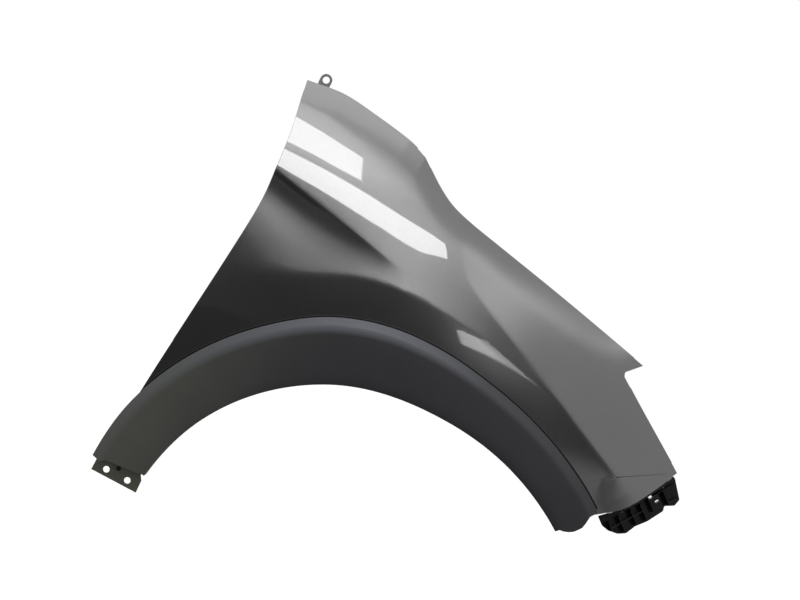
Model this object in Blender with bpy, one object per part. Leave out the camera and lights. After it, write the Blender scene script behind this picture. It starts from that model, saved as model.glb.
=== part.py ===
# Right-hand front car fender: a painted steel panel, its textured wheel arch moulding,
# the side bracket that carries the bumper cover and the small parts that hold them.
# Metres. +X runs forward, +Y inboard, +Z up. The outer face looks towards -Y.
# The drawing point of every outline is the wheel centre. The part is then shifted so that
# the seat under the bonnet-side flange lies on the world origin.
import math

import bmesh
import bpy
import numpy as np
from mathutils import Matrix, Vector
from mathutils.geometry import delaunay_2d_cdt

for old in list(bpy.data.objects):
    bpy.data.objects.remove(old, do_unlink=True)

# Main sizes
SHEET = 0.0008
MOULDING_WALL = 0.0025
ARCH_RADIUS = 0.395
GAP = 0.0004
PANEL_EDGE_INSET = 0.009
STANDOFF = 0.010
BEVEL_WIDTH = 0.013
MESH_STEP = 0.021

# Arch edge: change of radius with the angle from straight ahead, in degrees
ARCH_WAVE = ((48, 0.016), (57, 0.0087), (70, 0.0012), (88, -0.0045), (118, 0.003), (150, 0.003), (172, -0.005))
# Width of the moulding by angle, added to the arch radius
MOULDING_WIDTH = ((48, 0.0960), (62, 0.0870), (73, 0.0845), (84, 0.0870), (96, 0.0985), (106, 0.1090),
                  (117, 0.1150), (130, 0.1110), (150, 0.1035), (160, 0.0975), (173, 0.0840))
# Break line of the flare by angle, out from the arch radius, and how softly it turns
FLARE_RISE = ((48, 0.1520), (54, 0.1475), (57, 0.1427), (61, 0.1382), (66, 0.1362), (71, 0.1382), (76, 0.1385),
              (80, 0.1362), (87, 0.1385), (95, 0.1500), (103, 0.1680), (112, 0.1830), (123, 0.1900),
              (134, 0.2150), (150, 0.2600), (175, 0.3250))
FLARE_SOFT = ((50, 0.030), (55, 0.008), (60, 0.004), (65, 0.004), (90, 0.004), (115, 0.005), (122, 0.008),
              (130, 0.020), (142, 0.055))

# Side surface
FLARE_FACE = 0.010
FLARE_HEIGHT = 0.0135
FLARE_RUN = 0.075
TUCK = 0.045
LEAN = 0.62
LEAN_FROM = 0.400
LEAN_DROP = 0.090
NOSE_BEND = 0.42
NOSE_FROM = -0.060
FACET = 0.13
CREASE_DEPTH = 0.0090
CREASE_RUN = 0.038
FOLD_STEP = 0.0016
FOLD_WIDTH = 0.0022
FOLD_SLOPE = 0.04
ROLL_BAND = 0.050
ROLL_BEND = 7.0
# From where to where each form fades in or out: along the car, or out from the wheel centre
LEAN_FADE = (-0.15, 0.30)
CREASE_FADE = (-0.40, -0.14)
FOLD_FADE = (0.296, 0.316)
FOLD_CLEAR = (0.47, 0.55)
ROLL_FADE = (0.16, 0.27)
FOOT_FADE = (-0.30, -0.36)
FOOT_FADE_HEIGHT = (0.108, 0.078)
# How roundly each form starts
LEAN_ROUND = 0.04
NOSE_ROUND = 0.10
CREASE_ROUND = 0.0015
FACET_ROUND = 0.003
FACET_CORNER = 0.02
FOLD_ROUND = 0.002
ROLL_ROUND = 0.012

# Bearing at which the flare line has run into the front crease
FLARE_FRONT = 80.0

# Outline corners and the few points between them, drawn from the wheel centre
FOOT_REAR = (-0.468, 0.042)
FOOT_FRONT = (-0.384, 0.042)
FOOT_TOP = (-0.385, 0.064)
FOOT_SHOULDER = (-0.3915, 0.076)
DOOR_EDGE = ((-0.4665, 0.7925), (-0.4440, 0.6990), (-0.4330, 0.6150), (-0.4290, 0.5500),
             (-0.4335, 0.4500), (-0.4420, 0.3500), (-0.4505, 0.2550), (-0.4590, 0.1500),
             (-0.4680, 0.0700))
HOOD_LINE = ((-0.2230, 0.7700), (-0.2600, 0.7830), (-0.3300, 0.7945), (-0.4000, 0.8015),
             (-0.4665, 0.7925))
LAMP_CUT = ((0.2846, 0.6301), (0.1744, 0.6528), (0.0800, 0.6710), (-0.0400, 0.6930),
            (-0.1000, 0.7045), (-0.1400, 0.7160), (-0.1750, 0.7350), (-0.2230, 0.7700))
NOTCH = ((0.2611, 0.5969), (0.2590, 0.6045), (0.2661, 0.6120), (0.2846, 0.6301))
NOSE_EDGE = ((0.4246, 0.4921), (0.3244, 0.5552), (0.2611, 0.5969))
BUMPER_EDGE = ((0.3270, 0.3714), (0.3615, 0.3983), (0.3996, 0.4507), (0.4246, 0.4921))
FRONT_CREASE = ((-0.0750, 0.6150), (0.3110, 0.4429))
FRONT_RISE = (-0.1120, 0.6820)
FOLD = ((0.3120, 0.4350), (0.4120, 0.4874))
REAR_CREASE = ((-0.4290, 0.6266), (-0.1850, 0.5806))

# Flanges
SHELF_DROP = 0.0555
SHELF_HEIGHT = max(p[1] for p in HOOD_LINE) - SHELF_DROP
SHELF_SET = 0.018
SHELF_DEPTH = 0.034
SHELF_TRIM = 0.017
SHELF_TRIM_FROM = -0.430
SHELF_HOLES = (-0.405, -0.255)
SHELF_BOLT = 0.0085
FOOT_HOLES = ((-0.4455, 0.0535), (-0.4060, 0.0535))
FOOT_BOLT = 0.0110
FOOT_SEAT = 0.030
LIP = 0.016

# Small parts
CLIP_ANGLES = (58, 73, 88, 103, 118, 133, 148, 161)
CLIP_HEAD = 0.0065
CLIP_STEM = 0.0032
SEAL_WIDTH = 0.0020
SEAL_HEIGHT = 0.0022
TAB_PLACE = -0.4405
TAB_RISE = 0.0650
TAB_WIDTH = 0.0215
TAB_FOOT = 0.0200
TAB_HOLE = 0.0125
TAB_STEEL = 0.0018
FOOT_CLIP = (-0.4280, 0.0640)
BRACKET_WALL = 0.0025
BRACKET_SET = 0.0145
BRACKET_OUTLINE = ((-0.0058, 0.0035), (-0.0058, 0.0212), (0.0007, 0.0339), (0.0139, 0.0466),
                   (0.0285, 0.0529), (0.0479, 0.0498), (0.0716, 0.0524), (0.1059, 0.0501),
                   (0.1116, 0.0433), (0.1289, 0.0514), (0.1420, 0.0466), (0.1500, 0.0090),
                   (0.1480, 0.0045), (0.1073, 0.0101), (0.0750, 0.0120), (0.0426, 0.0134))
BRACKET_SLOTS = (((0.0930, 0.0185), (0.1030, 0.0255)), ((0.0945, 0.0295), (0.1045, 0.0380)))
# Ribs of the bracket: from and to along the edge, from and to outwards, and how deep they start
BRACKET_RIBS = ((0.1070, 0.1430, 0.0145, 0.0165, 0.0025), (0.0875, 0.1085, 0.0165, 0.0415, 0.0065),
                (0.0060, 0.0085, 0.0190, 0.0380, 0.0050), (0.0260, 0.0285, 0.0190, 0.0480, 0.0050),
                (0.0500, 0.0525, 0.0190, 0.0470, 0.0050), (0.0700, 0.0725, 0.0190, 0.0490, 0.0050),
                (0.0040, 0.0745, 0.0300, 0.0325, 0.0060), (0.1180, 0.1205, 0.0160, 0.0440, 0.0050),
                (0.1190, 0.1400, 0.0390, 0.0415, 0.0060))
SCREW_SHANK = 0.0019
SCREW_HEAD = 0.0032


# Shared shapes
def ramp(stops, angle):
    """smooth run through a few (angle, value) stops"""
    a = np.asarray(angle, dtype=float)
    t = np.array([s[0] for s in stops], dtype=float)
    v = np.array([s[1] for s in stops], dtype=float)
    slope = np.gradient(v, t)
    a = np.clip(a, t[0], t[-1])
    k = np.clip(np.searchsorted(t, a) - 1, 0, len(t) - 2)
    h = t[k + 1] - t[k]
    s = (a - t[k]) / h
    a0 = (1 + 2 * s) * (1 - s) ** 2 * v[k] + s * (1 - s) ** 2 * h * slope[k]
    a1 = s * s * (3 - 2 * s) * v[k + 1] + s * s * (s - 1) * h * slope[k + 1]
    return a0 + a1


def soft(value, width):
    """the positive part of a value with a rounded start"""
    return 0.5 * (value + np.sqrt(value * value + width * width))


def blend(low, high, value):
    t = np.clip((value - low) / (high - low), 0.0, 1.0)
    return t * t * (3.0 - 2.0 * t)


def arch_radius(angle):
    return ARCH_RADIUS + ramp(ARCH_WAVE, angle)


def seam_radius(angle):
    return ARCH_RADIUS + ramp(MOULDING_WIDTH, angle)


def flare_radius(angle):
    return ARCH_RADIUS + ramp(FLARE_RISE, angle)


def top_height(x):
    """height of the upper edge of the panel over its length"""
    points = sorted(set(HOOD_LINE) | set(LAMP_CUT))
    return np.interp(x, [p[0] for p in points], [p[1] for p in points])


def crease_height(x):
    (xa, za), (xb, zb) = REAR_CREASE
    return za + (x - xa) * (zb - za) / (xb - xa)


def side_of(point, ahead, x, z):
    """distance from a line, positive above and in front of it"""
    dx = ahead[0] - point[0]
    dz = ahead[1] - point[1]
    size = math.hypot(dx, dz)
    return (-(x - point[0]) * dz + (z - point[1]) * dx) / size


def body_side(x, z):
    """how far inboard the side of the car lies at a place, without the foot"""
    x = np.asarray(x, dtype=float)
    z = np.asarray(z, dtype=float)
    radius = np.hypot(x, z)
    angle = np.degrees(np.arctan2(z, x))
    lean_from = LEAN_FROM - LEAN_DROP * blend(*LEAN_FADE, x)
    y = FLARE_FACE + LEAN * soft(z - lean_from, LEAN_ROUND) ** 2
    y = y + NOSE_BEND * soft(x - NOSE_FROM, NOSE_ROUND) ** 2
    over = radius - flare_radius(angle)
    round_off = ramp(FLARE_SOFT, angle)
    y = y + FLARE_HEIGHT * (1.0 - np.exp(-soft(over, round_off) / FLARE_RUN))
    y = y + TUCK * soft(-over, round_off)
    below = soft(crease_height(x) - z, CREASE_ROUND) / CREASE_RUN
    fade = 1.0 - blend(*CREASE_FADE, x)
    y = y + CREASE_DEPTH * fade * below * np.exp(1.0 - below)
    first = side_of(FRONT_CREASE[0], FRONT_CREASE[1], x, z)
    second = side_of(FRONT_RISE, FRONT_CREASE[0], x, z)
    both = first - soft(first - second, FACET_CORNER)
    y = y + FACET * soft(both, FACET_ROUND)
    under = -side_of(FOLD[0], FOLD[1], x, z)
    drop = FOLD_STEP * blend(0.0, FOLD_WIDTH, under) + FOLD_SLOPE * soft(under, FOLD_ROUND)
    y = y + drop * blend(*FOLD_FADE, x) * blend(*FOLD_CLEAR, radius)
    into_roll = soft(z - (top_height(x) - ROLL_BAND), ROLL_ROUND)
    y = y + 0.5 * ROLL_BEND * into_roll ** 2 * (1.0 - blend(*ROLL_FADE, x))
    return y


def skin(x, z):
    """how far inboard the outer face of the panel lies, with the set-back sill foot"""
    y = body_side(x, z)
    flat = blend(*FOOT_FADE_HEIGHT, np.asarray(z, dtype=float)) * blend(*FOOT_FADE, x)
    return y * (1.0 - flat) + FOOT_SEAT * flat


def smooth_line(points, step):
    """a curve through a few points, cut into steps of about one length"""
    p = [Vector(q) for q in points]
    fine = []
    for i in range(len(p) - 1):
        before = p[i - 1] if i > 0 else p[i] * 2 - p[i + 1]
        after = p[i + 2] if i + 2 < len(p) else p[i + 1] * 2 - p[i]
        for k in range(24):
            t = k / 24
            c = (p[i] * 2 + (p[i + 1] - before) * t
                 + (before * 2 - p[i] * 5 + p[i + 1] * 4 - after) * t * t
                 + (p[i] * 3 - before - p[i + 1] * 3 + after) * t * t * t) * 0.5
            fine.append(c)
    fine.append(p[-1])
    run = [0.0]
    for a, b in zip(fine, fine[1:]):
        run.append(run[-1] + (b - a).length)
    count = max(1, round(run[-1] / step))
    xs = [f[0] for f in fine]
    zs = [f[1] for f in fine]
    at = np.linspace(0.0, run[-1], count + 1)
    return list(zip(np.interp(at, run, xs).tolist(), np.interp(at, run, zs).tolist()))


def beside(line, width):
    """a copy of a straight line, moved to its upper side by some width"""
    dx, dz = line[-1][0] - line[0][0], line[-1][1] - line[0][1]
    k = width / math.hypot(dx, dz)
    return [(x - dz * k, z + dx * k) for x, z in line]


def around(radius_of, start, stop, step):
    """points round the wheel centre between two angles"""
    mean = float(radius_of(0.5 * (start + stop)))
    count = max(2, round(abs(stop - start) * math.pi / 180 * mean / step))
    out = []
    for a in np.linspace(start, stop, count + 1):
        r = float(radius_of(a))
        out.append((r * math.cos(math.radians(a)), r * math.sin(math.radians(a))))
    return out


def inside(outline, x, z):
    """which of the given places lie inside a closed outline"""
    hit = np.zeros(len(x), dtype=bool)
    for (xa, za), (xb, zb) in zip(outline, outline[1:] + outline[:1]):
        if za == zb:
            continue
        cross = ((za > z) != (zb > z)) & (x < (xb - xa) * (z - za) / (zb - za) + xa)
        hit ^= cross
    return hit


def reach(lines, x, z):
    """distance from each place to the nearest of some open lines"""
    best = np.full(len(x), 1e9)
    for line in lines:
        for (xa, za), (xb, zb) in zip(line, line[1:]):
            dx, dz = xb - xa, zb - za
            size = dx * dx + dz * dz
            t = np.clip(((x - xa) * dx + (z - za) * dz) / size, 0, 1)
            best = np.minimum(best, np.hypot(x - xa - t * dx, z - za - t * dz))
    return best


def skin_point(x, z, proud=0.0):
    return Vector((x, float(skin(x, z)) - proud, z))


def skin_normal(x, z):
    """outward direction of the side surface"""
    e = 0.0005
    sx = float(skin(x + e, z) - skin(x - e, z)) / (2 * e)
    sz = float(skin(x, z + e) - skin(x, z - e)) / (2 * e)
    return Vector((sx, -1.0, sz)).normalized()


ORIGIN = Vector((-0.330, skin_point(-0.330, float(top_height(-0.330))).y + SHELF_SET + 0.5 * SHELF_DEPTH,
                 SHELF_HEIGHT - SHEET))


def paint(obj, name, colour, metallic, roughness, coat=0.0):
    mat = bpy.data.materials.new(name)
    mat.use_nodes = True
    shader = mat.node_tree.nodes["Principled BSDF"]
    shader.inputs["Base Color"].default_value = (*colour, 1.0)
    shader.inputs["Metallic"].default_value = metallic
    shader.inputs["Roughness"].default_value = roughness
    shader.inputs["Coat Weight"].default_value = coat
    obj.data.materials.append(mat)


def finish(bm, name, smooth=True):
    """turns a mesh drawn from the wheel centre into an object of the part"""
    bmesh.ops.translate(bm, verts=bm.verts, vec=-ORIGIN)
    mesh = bpy.data.meshes.new(name)
    for face in bm.faces:
        face.smooth = smooth
    bm.to_mesh(mesh)
    bm.free()
    obj = bpy.data.objects.new(name, mesh)
    bpy.context.scene.collection.objects.link(obj)
    return obj


def thicken(obj, wall):
    shell = obj.modifiers.new("wall", "SOLIDIFY")
    shell.thickness = wall
    shell.offset = -1.0
    shell.use_even_offset = True
    shell.use_quality_normals = True


def cut(obj, cutter):
    cutter.hide_render = True
    cutter.display_type = "WIRE"
    op = obj.modifiers.new("holes", "BOOLEAN")
    op.operation = "DIFFERENCE"
    op.solver = "EXACT"
    op.object = cutter


def rod(bm, centre, along, radius, length, sides=16):
    """a plain round bar about a centre"""
    turn = along.to_track_quat("Z", "Y").to_matrix().to_4x4()
    bmesh.ops.create_cone(bm, cap_ends=True, segments=sides, radius1=radius, radius2=radius,
                          depth=length, matrix=Matrix.Translation(centre) @ turn)


def turned(bm, base, along, profile, sides=14):
    """a turned part: rings of (distance along, radius) closed by flat ends"""
    turn = along.to_track_quat("Z", "Y").to_matrix()
    rings = []
    for distance, radius in profile:
        ring = []
        for k in range(sides):
            a = 2 * math.pi * k / sides
            spot = turn @ Vector((radius * math.cos(a), radius * math.sin(a), distance))
            ring.append(bm.verts.new(base + spot))
        rings.append(ring)
    for lower, upper in zip(rings, rings[1:]):
        for k in range(sides):
            j = (k + 1) % sides
            bm.faces.new((lower[k], lower[j], upper[j], upper[k]))
    bm.faces.new(list(reversed(rings[0])))
    bm.faces.new(rings[-1])


# Steel fender panel
def panel_edge(angle):
    return arch_radius(angle) + PANEL_EDGE_INSET


def strip(bm, edge, rails):
    """folds a flange off a run of edge vertices, one row of faces for each rail"""
    row = edge
    for rail in rails:
        following = [bm.verts.new(rail(v.co)) for v in edge]
        for k in range(len(edge) - 1):
            bm.faces.new((row[k], following[k], following[k + 1], row[k + 1]))
        row = following
    return row


def shift(dx, dy, dz):
    return lambda c: Vector((c.x + dx, c.y + dy, c.z + dz))


def panel_mesh(step):
    foot = smooth_line((FOOT_REAR, FOOT_FRONT), step * 0.7)
    riser = smooth_line((FOOT_FRONT, FOOT_TOP), step)
    arch = around(panel_edge, 166.0, 51.5, step)
    front = smooth_line((arch[-1], BUMPER_EDGE[0]), step)
    bumper = smooth_line(BUMPER_EDGE, step)
    nose = smooth_line(NOSE_EDGE, step)
    notch = smooth_line(NOTCH, step * 0.5)
    lamp = smooth_line(LAMP_CUT, step)
    hood = smooth_line(HOOD_LINE, step)
    door = smooth_line(DOOR_EDGE, step)
    shoulder = smooth_line((FOOT_TOP, FOOT_SHOULDER, arch[0]), step)
    runs = [foot, riser, shoulder, arch, front, bumper, nose, notch,
            lamp, hood, door, smooth_line((DOOR_EDGE[-1], FOOT_REAR), step)]
    outline = []
    spans = []
    for run in runs:
        spans.append((len(outline), len(outline) + len(run) - 1))
        outline.extend(run[:-1])
    total = len(outline)
    seam = around(seam_radius, 150.0, 54.0, step * 0.8)
    flare = around(flare_radius, 130.0, FLARE_FRONT, step * 0.8)
    crease = smooth_line(REAR_CREASE, step)[1:]
    rise = smooth_line((FRONT_RISE, FRONT_CREASE[0]), step)
    ridge = smooth_line(FRONT_CREASE, step)[:-1]
    fold = smooth_line(FOLD, step)[:-1]
    fold_foot = beside(fold, -FOLD_WIDTH)
    under_crease = [(x, z - 0.5 * CREASE_RUN) for x, z in crease[:-4]]
    lines = [seam, flare, crease, rise, ridge, fold, fold_foot, under_crease]
    holes = []
    for x, z in FOOT_HOLES:
        holes.append((x, z, 0.5 * FOOT_BOLT))
    holes.append((FOOT_CLIP[0], FOOT_CLIP[1], 0.0031))
    for x, z, normal in clip_places():
        holes.append((x, z, CLIP_STEM + 0.0012))
    rings = []
    for x, z, r in holes:
        rings.append([(x + r * math.cos(2 * math.pi * k / 12), z + r * math.sin(2 * math.pi * k / 12))
                      for k in range(12)])
    points = list(outline)
    edges = [(k, (k + 1) % total) for k in range(total)]
    for line in lines:
        first = len(points)
        points.extend(line)
        edges.extend((first + k, first + k + 1) for k in range(len(line) - 1))
    for ring in rings:
        first = len(points)
        points.extend(ring)
        edges.extend((first + k, first + (k + 1) % 12) for k in range(12))
    fixed = [outline + outline[:1]] + lines
    bars = []
    low_x, high_x = min(p[0] for p in outline), max(p[0] for p in outline)
    low_z, high_z = min(p[1] for p in outline), max(p[1] for p in outline)
    row_height = step * math.sqrt(0.75)
    for row in range(int((high_z - low_z) / row_height) + 1):
        z = low_z + row * row_height
        for column in range(int((high_x - low_x) / step) + 1):
            bars.append((low_x + (column + 0.5 * (row % 2)) * step, z))
    bx = np.array([b[0] for b in bars])
    bz = np.array([b[1] for b in bars])
    keep = inside(outline, bx, bz) & (reach(fixed, bx, bz) > 0.55 * step)
    for x, z, r in holes:
        keep &= np.hypot(bx - x, bz - z) > r + 0.4 * step
    points.extend(zip(bx[keep].tolist(), bz[keep].tolist()))
    flat = [Vector(p) for p in points]
    verts, _, faces, origin, _, _ = delaunay_2d_cdt(flat, edges, [list(range(total))], 1, 1e-6)
    bm = bmesh.new()
    height = skin(np.array([v.x for v in verts]), np.array([v.y for v in verts]))
    made = [bm.verts.new((v.x, float(y), v.y)) for v, y in zip(verts, height)]
    centre_x = np.array([sum(verts[i].x for i in f) / len(f) for f in faces])
    centre_z = np.array([sum(verts[i].y for i in f) / len(f) for f in faces])
    good = inside(outline, centre_x, centre_z)
    for x, z, r in holes:
        good &= np.hypot(centre_x - x, centre_z - z) > r * 0.97
    for f, use in zip(faces, good):
        if use:
            corner = [made[i] for i in f]
            face = bm.faces.new(corner)
            face.normal_update()
            if face.normal.y > 0:
                face.normal_flip()
    loose = [v for v in bm.verts if not v.link_faces]
    where = {}
    for k, sources in enumerate(origin):
        for s in sources:
            where[s] = made[k]
    bmesh.ops.delete(bm, geom=loose, context="VERTS")

    def edge_run(index, trim_start=0, trim_end=0):
        first, last = spans[index]
        return [where[k % total] for k in range(first + trim_start, last + 1 - trim_end)]

    # Arch lip, folded inboard
    def lip(inward, deep):
        def place(c):
            size = math.hypot(c.x, c.z)
            return Vector((c.x * (1 - inward / size), c.y + deep, c.z * (1 - inward / size)))
        return place
    strip(bm, edge_run(3, 1, 1), (lip(0.0012, 0.0016), lip(0.0022, 0.0045), lip(0.0022, LIP)))
    # Bumper flange
    strip(bm, edge_run(5, 1, 1), (shift(0.0010, 0.0022, -0.0010), shift(0.0010, 0.014, -0.0010)))
    # Nose flange
    strip(bm, edge_run(6, 1, 1), (shift(0.0006, 0.0022, 0.0008), shift(-0.0020, 0.013, -0.0030)))
    # Lamp flange
    strip(bm, edge_run(8, 1, 1), (shift(0.0, 0.0030, 0.0012), shift(0.0, 0.0060, -0.0010),
                                  shift(0.0, 0.0180, -0.0100)))

    # Bonnet-side wall and its level shelf, both cut back ahead of the door edge
    def shelf(dy, dz):
        def place(c):
            trim = SHELF_TRIM * float(blend(SHELF_TRIM_FROM, HOOD_LINE[-1][0], c.x))
            return Vector((c.x + trim, c.y + dy, SHELF_HEIGHT + dz))
        return place
    strip(bm, edge_run(9, 1, 0), (shift(0.0, 0.0020, 0.0014), shift(0.0, 0.0046, 0.0010),
                                  shift(0.0, 0.0062, -0.0014), shelf(0.0150, 0.0030),
                                  shelf(SHELF_SET, 0.0), shelf(SHELF_SET + SHELF_DEPTH, 0.0)))
    # Door edge return
    strip(bm, edge_run(10, 1, 11), (shift(-0.0008, 0.0018, 0.0), shift(-0.0004, 0.0040, 0.0),
                                    shift(0.0030, 0.0150, 0.0)))
    return bm


def clip_places():
    out = []
    for angle in CLIP_ANGLES:
        r = 0.5 * (float(arch_radius(angle)) + float(seam_radius(angle))) + 0.004
        x = r * math.cos(math.radians(angle))
        z = r * math.sin(math.radians(angle))
        out.append((x, z, skin_normal(x, z)))
    return out


panel = finish(panel_mesh(MESH_STEP), "fender_panel")
thicken(panel, SHEET)
holes = bmesh.new()
for x in SHELF_HOLES:
    y = skin_point(x, float(top_height(x))).y + SHELF_SET + 0.5 * SHELF_DEPTH
    rod(holes, Vector((x, y, SHELF_HEIGHT)), Vector((0, 0, 1)), 0.5 * SHELF_BOLT, 0.010)
shelf_cutter = finish(holes, "shelf_cutter", smooth=False)
cut(panel, shelf_cutter)
paint(panel, "paint_grey", (0.155, 0.157, 0.160), 0.75, 0.28, 1.0)


# Wheel arch moulding: a bevelled upper edge, a plain face and a lip turned into the arch.
# Its rows run from the seam to the inner lip as (share of width, extra radius, proud).
MOULDING_SECTION = (
    (1.0, 0.0, MOULDING_WALL + GAP),
    (1.0, -BEVEL_WIDTH, STANDOFF),
    (1.0, -BEVEL_WIDTH - 0.003, STANDOFF + 0.0006),
    (0.55, 0.0, STANDOFF + 0.0010),
    (0.20, 0.0, STANDOFF + 0.0004),
    (0.0, 0.0055, STANDOFF - 0.0006),
    (0.0, 0.0015, STANDOFF - 0.0030),
    (0.0, 0.0, STANDOFF - 0.0070),
    (0.0, 0.0004, -0.020),
)
MOULDING_FRONT = 49.2
MOULDING_REAR = 168.9
MOULDING_SLANT = 3.2


def moulding_mesh(columns):
    bm = bmesh.new()
    rows = []
    for share, extra, proud in MOULDING_SECTION:
        front = MOULDING_FRONT
        rear = MOULDING_REAR + MOULDING_SLANT * share
        line = []
        for k in range(columns + 1):
            angle = rear + (front - rear) * k / columns
            inner = float(arch_radius(angle))
            outer = float(seam_radius(angle))
            r = inner + (outer - inner) * share + extra
            x = r * math.cos(math.radians(angle))
            z = r * math.sin(math.radians(angle))
            line.append(bm.verts.new((x, float(body_side(x, z)) - proud, z)))
        rows.append(line)
    for upper, lower in zip(rows, rows[1:]):
        for k in range(columns):
            bm.faces.new((upper[k], upper[k + 1], lower[k + 1], lower[k]))
    bm.normal_update()
    if sum(f.normal.y for f in bm.faces) > 0:
        bmesh.ops.reverse_faces(bm, faces=bm.faces)
    return bm


moulding = finish(moulding_mesh(64), "arch_moulding")
thicken(moulding, MOULDING_WALL)
paint(moulding, "plastic_textured", (0.030, 0.031, 0.033), 0.0, 0.62)


# Thin rubber seal that closes the seam between the panel and the moulding
def swept(bm, rails):
    """a closed bar between rows of points; every row has the same number of corners"""
    rings = [[bm.verts.new(c) for c in ring] for ring in rails]
    sides = len(rings[0])
    for lower, upper in zip(rings, rings[1:]):
        for k in range(sides):
            j = (k + 1) % sides
            bm.faces.new((lower[k], lower[j], upper[j], upper[k]))
    bm.faces.new(list(reversed(rings[0])))
    bm.faces.new(rings[-1])
    bmesh.ops.recalc_face_normals(bm, faces=bm.faces)


SEAL_REAR = 155.5
SEAL_FRONT = 51.2


def seal_mesh(columns):
    rails = []
    for k in range(columns + 1):
        angle = SEAL_REAR + (SEAL_FRONT - SEAL_REAR) * k / columns
        ring = []
        for extra, proud in ((GAP, GAP), (GAP + SEAL_WIDTH, GAP), (GAP + SEAL_WIDTH * 0.8, SEAL_HEIGHT),
                             (GAP, SEAL_HEIGHT)):
            r = float(seam_radius(angle)) + extra
            x = r * math.cos(math.radians(angle))
            z = r * math.sin(math.radians(angle))
            ring.append(Vector((x, float(body_side(x, z)) - proud, z)))
        rails.append(ring)
    bm = bmesh.new()
    swept(bm, rails)
    return bm


seal = finish(seal_mesh(52), "moulding_seal")
paint(seal, "rubber_black", (0.008, 0.008, 0.009), 0.0, 0.55)


# Push clips behind the moulding, through holes in the panel
for number, (x, z, normal) in enumerate(clip_places(), start=1):
    bm = bmesh.new()
    base = skin_point(x, z)
    turned(bm, base, normal, ((-0.0115, 0.0012), (-0.0070, CLIP_STEM + 0.0010), (-0.0030, CLIP_STEM),
                              (GAP + 0.0004, CLIP_STEM), (GAP + 0.0004, CLIP_HEAD),
                              (0.0040, CLIP_HEAD), (0.0055, CLIP_HEAD - 0.0020)))
    bmesh.ops.recalc_face_normals(bm, faces=bm.faces)
    clip = finish(bm, "moulding_clip_%02d" % number)
    paint(clip, "plastic_clip", (0.60, 0.60, 0.56), 0.0, 0.45)

bm = bmesh.new()
base = skin_point(FOOT_CLIP[0], FOOT_CLIP[1])
turned(bm, base, Vector((0, -1, 0)), ((-0.0090, 0.0010), (-0.0050, 0.0024), (-0.0020, 0.0020),
                                      (GAP, 0.0020), (GAP, 0.0040), (0.0016, 0.0036),
                                      (0.0020, 0.0020)))
bmesh.ops.recalc_face_normals(bm, faces=bm.faces)
foot_clip = finish(bm, "foot_clip")
paint(foot_clip, "plastic_black", (0.010, 0.010, 0.011), 0.0, 0.40)


# Bumper side bracket: a black plastic wall along the flange and a ribbed, slotted plate
EDGE_START = skin_point(*BUMPER_EDGE[0])
EDGE_END = skin_point(*BUMPER_EDGE[-1])
PLAN_LENGTH = math.hypot(EDGE_END.x - EDGE_START.x, EDGE_END.z - EDGE_START.z)
ALONG = (EDGE_END - EDGE_START) / PLAN_LENGTH
INBOARD = Vector((0, 1, 0))
OUT = Vector((ALONG.z, 0, -ALONG.x))


def at_edge(s, o, d):
    return EDGE_START + ALONG * s + OUT * o + INBOARD * d


def slab(bm, outline, low, high):
    """a plate over an outline given along and out from the bumper edge"""
    swept(bm, [[at_edge(s, o, low) for s, o in outline], [at_edge(s, o, high) for s, o in outline]])


def box(bm, s0, s1, o0, o1, d0, d1):
    slab(bm, ((s0, o0), (s1, o0), (s1, o1), (s0, o1)), d0, d1)


def bracket_wall(bm):
    rails = []
    line = smooth_line(BUMPER_EDGE, 0.012)
    for (x, z), (xa, za), (xb, zb) in zip(line[1:-1], line[:-2], line[2:]):
        way = Vector((xb - xa, 0, zb - za)).normalized()
        out = Vector((way.z, 0, -way.x))
        base = skin_point(x, z)
        ring = []
        for o, d in ((0.0021, 0.0030), (0.0046, 0.0030), (0.0046, 0.0185), (0.0021, 0.0185)):
            ring.append(base + out * o + INBOARD * d)
        rails.append(ring)
    swept(bm, rails)


def screw_places():
    line = smooth_line(BUMPER_EDGE, 0.012)
    out = []
    for k in (3, len(line) - 4):
        way = Vector((line[k + 1][0] - line[k - 1][0], 0, line[k + 1][1] - line[k - 1][1])).normalized()
        out.append((skin_point(*line[k]) + INBOARD * 0.0065, Vector((way.z, 0, -way.x))))
    return out


bm = bmesh.new()
slab(bm, BRACKET_OUTLINE, BRACKET_SET, BRACKET_SET + BRACKET_WALL)
bracket = finish(bm, "bumper_bracket", smooth=False)
ribs = bmesh.new()
bracket_wall(ribs)
for s0, s1, o0, o1, low in BRACKET_RIBS:
    box(ribs, s0, s1, o0, o1, low, BRACKET_SET + 0.0010)
rib_body = finish(ribs, "bracket_ribs", smooth=False)
rib_body.hide_render = True
rib_body.display_type = "WIRE"
join = bracket.modifiers.new("ribs", "BOOLEAN")
join.operation = "UNION"
join.solver = "EXACT"
join.use_self = True
join.object = rib_body
slots = bmesh.new()
for (s0, o0), (s1, o1) in BRACKET_SLOTS:
    box(slots, s0, s1, o0, o1, 0.0, 0.020)
for place, way in screw_places():
    rod(slots, place + way * 0.0035, way, SCREW_SHANK + 0.0005, 0.006)
slot_cutter = finish(slots, "bracket_slots", smooth=False)
cut(bracket, slot_cutter)
paint(bracket, "plastic_bracket", (0.006, 0.006, 0.007), 0.0, 0.35)

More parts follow.
